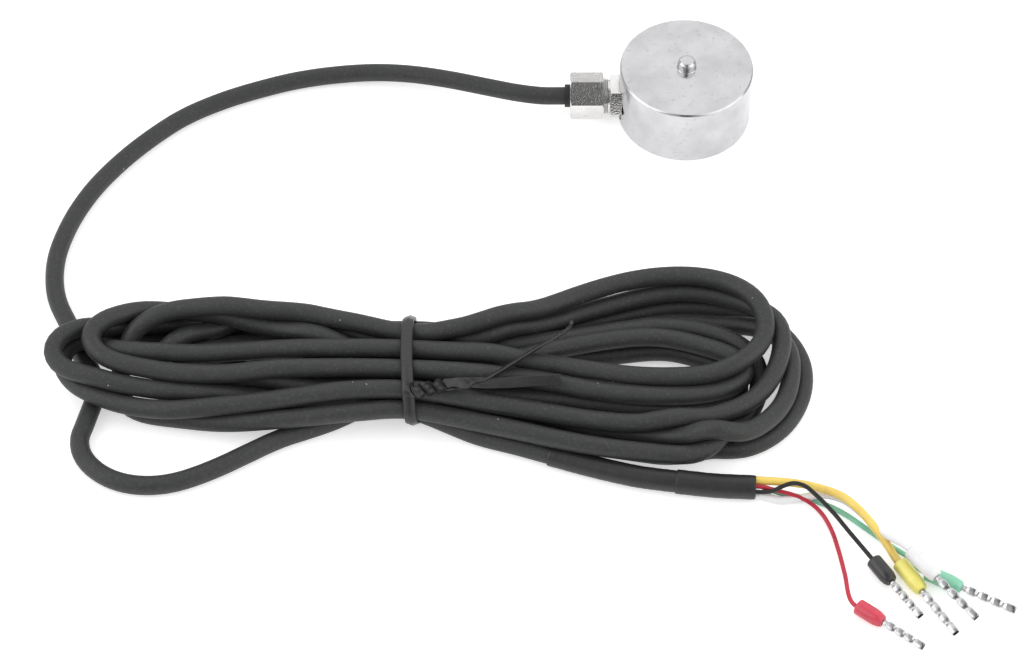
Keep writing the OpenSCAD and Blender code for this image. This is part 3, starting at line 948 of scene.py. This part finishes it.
    def pushes(self, line: np.ndarray, first: np.ndarray, second: np.ndarray,
               give: np.ndarray) -> np.ndarray:
        """Finds how far contact pushes each point.

        Args:
            line: The cord's points.
            first: The first point of each pair that could touch.
            second: The second point of each pair.
            give: How easily each point moves.

        Returns:
            The ways the points are pushed, weighted by the depth of contact.
        """
        gap = line[first] - line[second]
        far = np.linalg.norm(gap, axis=1)
        depth = self.diameter - far
        hit = depth > 0
        a, b, depth = first[hit], second[hit], depth[hit]
        shove = gap[hit] / np.maximum(far[hit], 1e-6)[:, None]
        shove *= (depth ** 3)[:, None]
        part = (give[a] / (give[a] + give[b]))[:, None]
        push, weight = np.zeros_like(line), np.zeros(len(line))
        np.add.at(push, a, shove * part)
        np.add.at(push, b, shove * (part - 1))
        np.add.at(weight, a, depth ** 2)
        np.add.at(weight, b, depth ** 2)
        return push / np.maximum(weight, 1e-9)[:, None]

    def relax(self, laid: np.ndarray, firm: np.ndarray) -> np.ndarray:
        """Presses the strands apart until they lie beside and on each other.

        They give way in depth, along the line of sight, more than across it. In
        the last rounds nothing pulls them back to where they were laid.

        Args:
            laid: The cord's points as they were laid.
            firm: How firmly each point stays.

        Returns:
            The points as the strands come to rest.
        """
        line = laid.copy()
        sight = unit(laid - np.array(Studio.EYE) / MM)
        across = np.where(firm > self.held_from, self.held_share, 1.0)[:, None]
        skip = math.ceil(self.reach * self.diameter / self.step)
        lift = self.tie_lift * np.exp(
            -((laid[:, 0] - self.tie_x) / self.tie_half_width) ** 4)
        free = firm < self.fixed_from
        for turn in range(self.rounds):
            if turn % self.search_every == 0:
                first, second = self.neighbours(line, skip)
            move = self.pushes(line, first, second, 1 / firm)
            deep = part_along(move, sight)
            move = deep + (move - deep) * across
            if turn < self.rounds - self.free_rounds:
                back = laid - line
                deep = part_along(back, sight)
                move += (back - deep) * self.pull_across + deep * self.pull_deep
            curled = curl(line)
            move += part_along(curled, sight) * self.smoothing
            stiff = curl(curled) * self.stiffness
            line = np.where(free[:, None], line + move - stiff, line)
            line[:, 2] = np.maximum(line[:, 2], np.where(
                free, self.diameter / 2 + lift, line[:, 2]))
        return line

    def build(self) -> Piece:
        """Makes the cable.

        Returns:
            The cable.
        """
        line = self.relax(*self.route())
        self.line = spline(line[::self.keep_every], self.final_step) * MM
        piece = tube("cable_jacket", self.line, self.diameter / 2 * MM, self.sides)
        join_kit(piece, Finishes.JACKET,
                 ("cable_lead", "cable_loop", "cable_hank", "cable_tail"))
        return piece


@dataclass
class Sleeves:
    """Heat-shrink over the end of the jacket, in two layers.

    The under layer is closed, and the over layer has a hollow mouth. A ripple is
    (height, turn in radians for each millimetre, phase in radians).

    Attributes:
        under_radius: Radius of the under layer.
        over_radius: Radius of the over layer.
        mouth: How deep the mouth of the over layer is.
        wall: Thickness of its wall there.
        lip_drop: How far a lip is rounded in.
        lip_length: Length of that rounding.
        step: Spacing of the line's points.
        sides: Points round a section.
    """

    under_radius: float = 2.0
    over_radius: float = 2.2
    mouth: float = 6.0
    wall: float = 0.25
    lip_drop: float = 0.10
    lip_length: float = 0.25
    step: float = 0.25
    sides: int = 32

    UNDER = ((-27.2, -85.3, 2), (-19, -88, 2), (-11.5, -90.2, 2.2), (-4.7, -91.3, 2.2),
             (-1.2, -91.8, 2.2))
    OVER = ((-4.7, -91.3, 2.2), (2.3, -92.2, 2.2), (9.4, -92.6, 2.2))
    RIPPLES = ((0.012, 2.1, 0.0), (0.010, 5.3, 1.0))

    def layer(self, name: str, route: Sequence[Point], radius: float, hollow: float,
              node: str) -> Piece:
        """One sleeve with rounded lips.

        Args:
            name: Name of the piece.
            route: Points of its centreline in millimetres.
            radius: Outer radius in millimetres.
            hollow: Length of its open mouth in millimetres, or 0.
            node: Node that it replaces.

        Returns:
            The sleeve.
        """
        line = spline(route, self.step)
        run = arc_length(line)
        ripple = sum(height * np.sin(run * pace + phase)
                     for height, pace, phase in self.RIPPLES)
        to_end = np.minimum(run, run[-1] - run)
        lip = self.lip_drop * np.clip(1 - to_end / self.lip_length, 0, 1) ** 2
        radii = radius + ripple - lip
        if hollow:
            back = run[-1] - run < hollow
            line = np.vstack([line, line[back][::-1]])
            radii = np.concatenate([radii, np.full(back.sum(), radius - self.wall)])
        piece = sweep(name, line * MM, radii * MM, self.sides)
        join_kit(piece, Finishes.SLEEVE, (node,))
        return piece

    def build(self) -> list[Piece]:
        """Makes both sleeves.

        Returns:
            The sleeves.
        """
        return [self.layer("sleeve_under", self.UNDER, self.under_radius, 0,
                           "shrink_inner"),
                self.layer("sleeve_over", self.OVER, self.over_radius, self.mouth,
                           "shrink_outer")]


@dataclass
class TwistTie:
    """A flat tie round the hank, twisted on its front with two free ends.

    Two ribbons wind about one core line, on its two sides, and then part. A
    stretch of change is given as (start, length) along the ribbon.

    Attributes:
        width: Width of the band.
        thick: Thickness of a ribbon.
        band_thick: Thickness of the band.
        tie_x: Where the tie is.
        strand_radius: Radius of the cable's strands.
        grip: How near to the tie a point of the cable counts.
        hank_from: The y below which the cable belongs to the hank.
        floor_share: Height of the band's lowest middle, in band thicknesses.
        hull_points: Directions in which the band reaches for the strands.
        band_step: Spacing of the band's points.
        rounding: How often the band's corners are rounded off.
        ribbon_step: Spacing of a ribbon's points.
        ribbon_apart: How far a ribbon runs beside the core line.
        section_points: Points round a section.
        edge_power: Fullness of a section's edges, where 1 is an ellipse.
        face_power: Fullness of its faces.
        wire_rise: How far the core wire stands out, in thicknesses.
        wire_width: Width of that rise, in half widths of the section.
    """

    width: float = 2.2
    thick: float = 0.5
    band_thick: float = 0.9
    tie_x: float = -52.8
    strand_radius: float = 1.75
    grip: float = 1.3
    hank_from: float = -50.0
    floor_share: float = 0.78
    hull_points: int = 120
    band_step: float = 0.5
    rounding: int = 3
    ribbon_step: float = 0.22
    ribbon_apart: float = 0.36
    section_points: int = 20
    edge_power: float = 0.6
    face_power: float = 0.7
    wire_rise: float = 0.5
    wire_width: float = 0.3

    # The band waves a little along x (pace in radians for each millimetre), and
    # its foot leans to the right at the front.
    WAVE_HEIGHT, WAVE_MIDDLE, WAVE_PACE = 0.25, -60, 0.25
    LEAN_START, LEAN_LENGTH = -6.6, 10
    # Half turns of the knot and of the last stretch before the ends, and where.
    KNOT_TURNS, KNOT = 4.0, (0.4, 7)
    LAST_TURN, UNWIND = 0.5, (8.5, 4)
    LIE_FREE, COME_TOGETHER = (11.5, 3), (10, 3)
    HALF_WIDTH = (0, 7, 9, 12), (1.35, 1.35, 1.0, 1.0)
    CORE = ((-52.7, -77.0, 10.6), (-51.0, -77.9, 11.4), (-48.4, -77.8, 12.0),
            (-45.6, -77.1, 12.1), (-43.4, -76.4, 11.5), (-40.4, -76.1, 11.3))
    ENDS = (((-38.4, -75.2, 11.4), (-36.2, -73.8, 11.7), (-30, -69.4, 12.3),
             (-24.3, -65.5, 12.9), (-23.4, -64.7, 13.3), (-23.2, -64.3, 13.9)),
            ((-38, -75.9, 11.0), (-34, -75.6, 10.8), (-29.5, -75.2, 10.8),
             (-25.2, -75.0, 10.9)))
    LIES = ((0.0, -0.62, 0.78), (0.0, 0.78, 0.62))

    def section(self, half_width: float, half_thick: float) -> np.ndarray:
        """A flat section with rounded edges and a raised core wire.

        Args:
            half_width: Half its width.
            half_thick: Half its thickness beside the wire.

        Returns:
            Its points, as (across, up) offsets.
        """
        turn = circle(self.section_points)
        cos, sin = np.cos(turn), np.sin(turn)
        across = np.sign(cos) * np.abs(cos) ** self.edge_power * half_width
        up = np.sign(sin) * np.abs(sin) ** self.face_power * half_thick
        from_wire = across / (self.wire_width * half_width)
        up *= 1 + self.wire_rise * np.exp(-from_wire ** 2)
        return np.stack([across, up], 1)

    def close(self, name: str, rings: np.ndarray, closed: bool) -> Piece:
        """Makes a piece of the tie from its rings.

        Args:
            name: Name of the piece.
            rings: Points by ring, in millimetres.
            closed: Whether the last ring joins the first.

        Returns:
            The piece.
        """
        piece = skin(name, rings * MM, closed)
        face_outwards(piece)
        smooth(piece, ROUND_ANGLE)
        return piece

    def band(self, cable: np.ndarray) -> Piece:
        """The loop that hugs the strands where they pass the tie.

        Args:
            cable: Centreline of the cable in metres.

        Returns:
            The band.
        """
        line = cable / MM
        near = line[np.abs(line[:, 0] - self.tie_x) < self.grip]
        near = near[near[:, 1] < self.hank_from][:, 1:]
        turn = np.linspace(0, 2 * math.pi, self.hull_points + 1)[:-1]
        out = np.stack([np.cos(turn), np.sin(turn)], 1)
        half_thick = self.band_thick / 2
        hull = near[(near @ out.T).argmax(0)] + out * (self.strand_radius + half_thick)
        hull[:, 1] = np.maximum(hull[:, 1], self.band_thick * self.floor_share)
        ring = np.column_stack([np.full(len(hull), self.tie_x), hull])
        ring = evenly(np.vstack([ring, ring[:1]]), self.band_step)[:-1]
        ring[:, 0] += self.WAVE_HEIGHT * np.sin(
            (ring[:, 1] - self.WAVE_MIDDLE) * self.WAVE_PACE)
        ring[:, 0] += (np.clip(self.LEAN_START - ring[:, 1] / self.LEAN_LENGTH, 0, 1)
                       * (1 - ring[:, 2] / self.LEAN_LENGTH))
        for _ in range(self.rounding):
            ring = (np.roll(ring, 1, 0) + 2 * ring + np.roll(ring, -1, 0)) / 4
        across = np.array([1.0, 0, 0])
        ahead = unit(np.roll(ring, -1, 0) - np.roll(ring, 1, 0))
        normal = unit(np.cross(ahead, across))
        flat = self.section(self.width / 2, half_thick)
        rings = (ring[:, None] + flat[None, :, :1] * across
                 + flat[None, :, 1:] * normal[:, None])
        return self.close("tie_band", rings, True)

    def ribbon(self, number: int, end: tuple[Point, ...], lie: Point) -> Piece:
        """A ribbon that winds about the knot's core line and then lies free.

        Args:
            number: Its number, from 0.
            end: Points of its free end in millimetres.
            lie: The way its width points where it lies free.

        Returns:
            The ribbon.
        """
        line = spline(self.CORE + end, self.ribbon_step)
        run = arc_length(line)
        turns = math.pi * (self.KNOT_TURNS * rising(run, *self.KNOT)
                           + self.LAST_TURN * rising(run, *self.UNWIND))
        turns = turns[:, None] + math.pi * number
        ahead, side, up = frames_along(line)
        wide = np.cos(turns) * side + np.sin(turns) * up
        free = unit(np.asarray(lie) - ahead * (ahead @ np.asarray(lie))[:, None])
        share = rising(run, *self.LIE_FREE)
        meets = np.argmax(share > 0)
        if wide[meets] @ free[meets] < 0:
            free = -free
        wide = unit(wide + (free - wide) * share[:, None])
        normal = np.cross(ahead, wide)
        apart = self.ribbon_apart * (1 - rising(run, *self.COME_TOGETHER))
        half_width = np.interp(run, *self.HALF_WIDTH)
        flat = self.section(1.0, self.thick / 2)
        rings = ((line + apart[:, None] * normal)[:, None]
                 + flat[None, :, :1] * half_width[:, None, None] * wide[:, None]
                 + flat[None, :, 1:] * normal[:, None])
        return self.close(f"tie_ribbon_{number + 1}", rings, False)

    def build(self, cable: np.ndarray) -> list[Piece]:
        """Makes the band, the knot's two ribbons and their free ends.

        Args:
            cable: Centreline of the cable in metres.

        Returns:
            The pieces.
        """
        band = self.band(cable)
        ribbons = [self.ribbon(number, end, lie)
                   for number, (end, lie) in enumerate(zip(self.ENDS, self.LIES))]
        join_kit(band, Finishes.TIE, ("twist_tie",))
        for piece in ribbons:
            join_kit(piece, Finishes.TIE)
        return [band, *ribbons]


@dataclass
class Sensor:
    """The steel body with its button, the gland and the seal, edges rounded.

    Attributes:
        thread_start: The x where the thread comes out of the flange.
        thread_length: How much of it shows.
        thread_step: Spacing of its sections.
        thread_pitch: From one crest to the next.
        thread_root: Radius between the crests.
        thread_depth: How far a crest stands out.
        axis_height: Height of the gland's axis.
        thread_sides: Points round a section.
    """

    thread_start: float = -15.15
    thread_length: float = 1.5
    thread_step: float = 0.04
    thread_pitch: float = 0.5
    thread_root: float = 3.38
    thread_depth: float = 0.2
    axis_height: float = 4.8
    thread_sides: int = 64

    # Node, new piece, rounding in millimetres, angle of rounded edges, looks.
    EDGES = (
        ("sensor_body", "body_shell", 0.05, 24, Slot.NICKEL, Finishes.BODY),
        ("gland_body", "gland_stem", 0.10, 24, Slot.PLATING, Finishes.PLATING),
        ("gland_nut", "gland_cap", 0.12, 24, Slot.PLATING, Finishes.PLATING),
        ("seal_bush", "gland_seal", 0.12, 30, Slot.RUBBER, Finishes.RUBBER),
    )

    def thread(self) -> None:
        """Makes the turns of thread that show between the flange and the nut."""
        run = np.arange(0, self.thread_length, self.thread_step)
        slope = np.abs(np.mod(run / self.thread_pitch, 1.0) - 0.5) * 2
        radii = self.thread_root + self.thread_depth * slope
        line = np.stack([self.thread_start - run, 0 * run,
                         0 * run + self.axis_height], 1)
        piece = sweep("gland_thread", line * MM, radii * MM, self.thread_sides)
        join_kit(piece, Finishes.THREAD)

    def build(self) -> None:
        """Makes the refined copies and hands them over."""
        for node, name, edge, keep, slot, finish in self.EDGES:
            piece = refined_copy(node, name, edge * MM, keep)
            join_kit(piece, finish, (node,))
        self.thread()


@dataclass(frozen=True)
class Lead:
    """One insulated wire and where its ferrule lies.

    A ferrule is a moulded collar with a crimped pin. Rows of its tables are
    (distance, radius, how cornered from 0 to 1).

    Attributes:
        colour: What it is called by.
        diameter: Thickness of the wire.
        route: Where the wire goes from the sleeve on.
        rear: Rear end of the ferrule.
        turn: The way it points, seen from above.
        dip: How far it points down.
        collar: Length of its collar.
        pin: Length of its pin.
        wire_finish: Finish of the wire.
        collar_finish: Finish of the collar.
    """

    colour: str
    diameter: float
    route: tuple[Point, ...]
    rear: Point
    turn: float
    dip: float
    collar: float
    pin: float
    wire_finish: Finishes
    collar_finish: Finishes

    # The wire inside the sleeve: x, shift in y, scale and shift of the height.
    INSIDE = ((3.2, 0.3, 0.7, 0.7), (6.4, 0.12, 0.9, 0.22))
    BEHIND_COLLAR, IN_COLLAR = -1, 2.2
    WIRE_STEP, WIRE_SIDES = 0.35, 16
    # Points round the ferrule, turn of its corners in radians, sharpest smooth edge.
    SIDES, ROLL, FACET_ANGLE = 48, 0.35, 48
    # The collar: its mouth round the wire, the back, the shoulder and the nose.
    COLLAR_RADIUS, COLLAR_CORNERS, SLACK, BARREL_SHARE = 1.45, 6, 0.12, 0.68
    MOUTH = ((0.9, 0.0), (0.25, 0.05), (0.02, 0.2))
    BACK_LENGTH, BACK_ROUND, BACK_STEPS = 0.45, 0.5, 7
    SHOULDER = ((-0.4, 1.0, 0.0), (0.0, 0.995, 0.1), (0.4, 0.98, 0.35))
    NOSE = ((-0.5, 1.22, 0.9), (-0.2, 1.10, 0.7), (-0.05, 1.0, 0.4), (0.0, 0.86, 0.1),
            (-0.1, 0.70, 0.0))
    # The pin: its root in the collar, one pressed link, and the open end.
    PIN_CORNERS, LINKS, LINK_START, LINK_CORNERED = 4, 4, 0.7, 0.8
    ROOT = ((-0.4, 0.56, 0.0), (0.5, 0.56, 0.0), (0.62, 0.60, 0.2))
    LINK = ((0.0, 0.54), (0.08, 0.55), (0.25, 0.78), (0.32, 0.80), (0.70, 0.80),
            (0.77, 0.78), (0.94, 0.55))
    LAST_LINK_ROWS = 5
    OPEN_END = ((-0.1, 0.80, 0.6), (0.0, 0.76, 0.6), (-0.02, 0.62, 0.6),
                (-0.9, 0.58, 0.6))

    def place(self) -> Matrix:
        """Where the ferrule lies: its rear end at the origin, +Z ahead."""
        return (Matrix.Translation(Vector(self.rear) * MM)
                @ Matrix.Rotation(math.radians(self.turn), 4, "Z")
                @ Matrix.Rotation(math.radians(90 + self.dip), 4, "Y"))

    def ahead(self, distance: float) -> Point:
        """The point that far ahead of the ferrule's rear end, in millimetres."""
        spot = self.place() @ Vector((0, 0, distance * MM))
        return tuple(spot / MM)

    def wire(self) -> tuple[Piece, np.ndarray]:
        """Makes the insulated wire, from inside the sleeve into the collar.

        Returns:
            The wire and its centreline in metres.
        """
        _, y, z = self.route[0]
        inside = [(x, y + shift, z * scale + lift)
                  for x, shift, scale, lift in self.INSIDE]
        line = spline((*inside, *self.route, self.ahead(self.BEHIND_COLLAR),
                       self.ahead(self.IN_COLLAR)), self.WIRE_STEP) * MM
        piece = tube(f"lead_{self.colour}", line, self.diameter / 2 * MM,
                     self.WIRE_SIDES)
        join_kit(piece, self.wire_finish,
                 (f"wire_{self.colour}",))
        return piece, line

    def turned(self, name: str, stations: Sequence[tuple[float, float, float]],
               corners: int) -> Piece:
        """A body along the ferrule whose section runs from round to cornered.

        Args:
            name: Name of the piece.
            stations: Distance ahead, radius and how cornered, in turn.
            corners: How many corners the section can take.

        Returns:
            The body, at its place.
        """
        turn = circle(self.SIDES)
        part = np.mod(turn + self.ROLL, 2 * math.pi / corners) - math.pi / corners
        flat = math.cos(math.pi / corners) / np.cos(part)
        flat = flat / flat.mean()
        steps = np.array(stations)
        radii = steps[:, 1:2] * (1 + steps[:, 2:] * (flat[None] - 1))
        piece = skin(name, np.stack([radii * np.cos(turn), radii * np.sin(turn),
                                     np.repeat(steps[:, :1], self.SIDES, 1)], 2) * MM)
        settle(piece, self.place())
        smooth(piece, self.FACET_ANGLE)
        return piece

    def sleeve(self) -> Piece:
        """Makes the moulded collar: rounded back, straight barrel, faceted nose.

        Returns:
            The collar.
        """
        mouth, wide = self.diameter / 2 + self.SLACK, self.COLLAR_RADIUS
        barrel = self.BARREL_SHARE * self.collar
        stations = [(at, mouth + more, 0) for at, more in self.MOUTH]
        stations += [(self.BACK_LENGTH - self.BACK_LENGTH * math.cos(a),
                      wide - self.BACK_ROUND + self.BACK_ROUND * math.sin(a), 0)
                     for a in np.linspace(0, math.pi / 2, self.BACK_STEPS)]
        stations += [(barrel + at, wide * share, cornered)
                     for at, share, cornered in self.SHOULDER]
        stations += [(self.collar + at, radius, cornered)
                     for at, radius, cornered in self.NOSE]
        piece = self.turned(f"sleeve_{self.colour}", stations, self.COLLAR_CORNERS)
        join_kit(piece, self.collar_finish,
                 (f"collar_{self.colour}",))
        return piece

    def tip(self) -> Piece:
        """Makes the crimped tube: round root, pressed links and an open end.

        Returns:
            The pin.
        """
        end, first = self.collar + self.pin, self.collar + self.LINK_START
        pitch = (end - first) / self.LINKS
        stations = [(self.collar + at, radius, cornered)
                    for at, radius, cornered in self.ROOT]
        for k in range(self.LINKS):
            rows = self.LINK if k < self.LINKS - 1 else self.LINK[:self.LAST_LINK_ROWS]
            stations += [(first + k * pitch + share * pitch, radius,
                          self.LINK_CORNERED) for share, radius in rows]
        stations += [(end + at, radius, cornered)
                     for at, radius, cornered in self.OPEN_END]
        piece = self.turned(f"tip_{self.colour}", stations, self.PIN_CORNERS)
        join_kit(piece, Finishes.TIN, (f"pin_{self.colour}",))
        return piece


LEADS = (
    Lead("red", 0.8, (
        (9.4, -92.95, 2.95), (10.4, -93, 2.95), (13.2, -93.5, 2.5), (16.5, -94.2, 1.9),
        (19, -95.3, 1.3), (21, -97.2, 0.7), (22.5, -100.5, 0.5), (23.5, -105, 0.5),
        (24.2, -110, 0.8)), (25.8, -117.3, 1.6), -37.5, 1, 5.4, 8.2,
        Finishes.WIRE_RED, Finishes.COLLAR_RED),
    Lead("black", 0.8, (
        (9.4, -93.8, 2.55), (10.4, -93.9, 2.6), (12.2, -94.1, 3.2), (14.2, -93.7, 4.2),
        (16, -93.6, 4.9), (17.8, -94.3, 5.1), (20, -96.2, 4.6), (22.7, -99.2, 3.8),
        (25.3, -102.6, 2.9)), (29.2, -107.9, 1.9), -57, 2, 5.4, 8.2,
        Finishes.WIRE_BLACK, Finishes.COLLAR_BLACK),
    Lead("yellow", 1.5, (
        (9.46, -91.7, 3.2), (10.4, -91.8, 3.2), (15.5, -92.3, 3.3), (20, -93.5, 3.6),
        (24.5, -95.6, 3.7), (27.3, -98.3, 3.5), (29.7, -101.6, 3), (31.9, -104.9, 2.2)),
        (33.8, -108.3, 1.6), -59, 1, 6.8, 10,
        Finishes.WIRE_YELLOW, Finishes.COLLAR_YELLOW),
    Lead("white", 1.5, (
        (9.4, -93.55, 1.25), (10.4, -93.6, 1.25), (13.5, -94.6, 1.1),
        (17.8, -94.2, 1.3), (21.3, -93.7, 1.6), (25, -95, 1.8), (28.3, -98.6, 2.2),
        (31.6, -103.3, 3.2)), (35.4, -107.9, 5), -51, 6, 6.8, 10,
        Finishes.WIRE_WHITE, Finishes.COLLAR_WHITE),
    Lead("green", 1.0, (
        (9.45, -91.85, 1.6), (10.4, -91.9, 1.6), (14, -92.8, 0.7), (18, -93.6, 0.5),
        (21.3, -94.9, 0.5), (25, -97.1, 0.5), (28.7, -100.3, 0.5), (32.8, -104.1, 0.6),
        (35.9, -107.1, 1.1)), (38.3, -110.3, 1.6), -27.7, 1, 6.8, 10,
        Finishes.WIRE_GREEN, Finishes.COLLAR_GREEN),
)


# ---------------------------------------------------------------- the room


class Studio:
    """The camera, the white floor, the soft lights and the white surround.

    The surround is a white tent with a dark gap behind the camera. Its levels
    count where it is seen in a reflection; the part itself is lit by FILL.
    """

    EYE = (-0.033966, -0.403104, 0.437928)
    TILT = 38.402
    LENS, SENSOR = 105.47, 36
    CLIP = 0.01, 10
    FLOOR_SIZE, FLOOR_ROUGHNESS = 3, 0.9
    FLOOR_COLOUR, FLOOR_GLOW = grey(0.86), 0.5
    FILL, WALL = 0.55, 0.62
    GAP_LEVEL = 0.10
    GAP_HALF_WIDTH = (0.10, 0.16)
    GAP_END = (-0.05, 0.15)
    HORIZON = (0.0, 0.04)
    MIDDLE = (-0.035, -0.04, 0.0)
    # Name, place, width and height, power in watts.
    BOXES = (
        ("box_back", (0.0, 0.58, 0.78), (1.8, 1.3), 4.6),
        ("box_left", (-0.75, -0.25, 0.55), (0.9, 1.0), 3.8),
        ("box_right", (0.65, -0.3, 0.5), (0.9, 1.0), 3.4),
    )

    def camera(self) -> None:
        """Sets the camera up."""
        data = bpy.data.cameras.new("camera")
        data.lens, data.sensor_width = self.LENS, self.SENSOR
        data.clip_start, data.clip_end = self.CLIP
        camera = bpy.data.objects.new("camera", data)
        camera.location = self.EYE
        camera.rotation_euler = (math.radians(self.TILT), 0, 0)
        bpy.context.scene.collection.objects.link(camera)
        bpy.context.scene.camera = camera

    def floor(self) -> None:
        """Lays a wide white floor that keeps the part's shadow."""
        deselect()
        bpy.ops.mesh.primitive_plane_add(size=self.FLOOR_SIZE, location=(0, 0, 0))
        floor = fresh("floor")
        graph = Graph("floor_white")
        glow = graph.maths("MULTIPLY", graph.seen_directly(), self.FLOOR_GLOW)
        graph.set(Base_Color=self.FLOOR_COLOUR, Roughness=self.FLOOR_ROUGHNESS,
                  Specular_IOR_Level=0.0, Emission_Color=grey(1.0),
                  Emission_Strength=glow)
        floor.data.materials.append(graph.material)

    def surround(self) -> None:
        """Puts white tent walls round what looks at them, with the dark gap."""
        world = bpy.data.worlds.new("surround")
        bpy.context.scene.world = world
        world.use_nodes = True
        nodes = Nodes(world.node_tree)
        way = nodes.add("SeparateXYZ", nodes.add("TexCoord").outputs["Generated"])
        across, forwards, up = way.outputs
        side = nodes.maths("ABSOLUTE", across)
        cloth = nodes.maths("MAXIMUM", nodes.between(side, *self.GAP_HALF_WIDTH),
                            nodes.between(forwards, *self.GAP_END))
        cloth = nodes.maths("MULTIPLY", cloth, nodes.between(up, *self.HORIZON))
        wall = nodes.between(cloth, 0.0, 1.0, self.GAP_LEVEL, self.WALL)
        gain = nodes.maths("SUBTRACT", wall, self.FILL)
        seen = nodes.maths("MULTIPLY", gain, nodes.seen_directly())
        back = nodes.tree.nodes["Background"]
        nodes.feed(back.inputs["Color"], grey(1.0))
        nodes.feed(back.inputs["Strength"], nodes.maths("ADD", seen, self.FILL))

    def softbox(self, name: str, at: Point, size: tuple[float, float],
                power: float) -> None:
        """Puts up one area light that points at the middle of the part.

        Args:
            name: Name of the light.
            at: Where it stands.
            size: Its width and height.
            power: Its power in watts.
        """
        data = bpy.data.lights.new(name, "AREA")
        data.shape, data.size, data.size_y = "RECTANGLE", *size
        data.energy = power
        light = bpy.data.objects.new(name, data)
        light.location = at
        light.rotation_euler = (Vector(self.MIDDLE) - Vector(at)).to_track_quat(
            "-Z", "Y").to_euler()
        bpy.context.scene.collection.objects.link(light)

    def build(self) -> None:
        """Makes all of the room."""
        self.camera()
        self.floor()
        self.surround()
        for box in self.BOXES:
            self.softbox(*box)
        bpy.context.scene.view_settings.view_transform = "Standard"


# ---------------------------------------------------------------- the part


# Nodes of the frame that keep their own mesh and only take a finish.
CARRIED = {
    "base_cover": Finishes.COVER,
    "gauge_1": Finishes.FOIL, "gauge_2": Finishes.FOIL, "gauge_3": Finishes.FOIL,
    "gauge_4": Finishes.FOIL, "terminal_board": Finishes.BOARD,
    "inner_leads": Finishes.WIRE_WHITE, "cable_core": Finishes.JACKET,
}


def main() -> None:
    """Builds every sub-assembly in order and dresses it."""
    logging.basicConfig(level=logging.INFO, format="%(message)s")
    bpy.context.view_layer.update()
    Studio().build()

    cable = MainCable()
    jacket = cable.build()
    sleeves = Sleeves().build()
    tie = TwistTie().build(cable.line)
    leads = [lead.wire() for lead in LEADS]
    ends = [(lead.sleeve(), lead.tip()) for lead in LEADS]
    Sensor().build()
    for node, finish in CARRIED.items():
        Paint.put(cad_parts[node], finish)


if __name__ == "__main__":
    main()
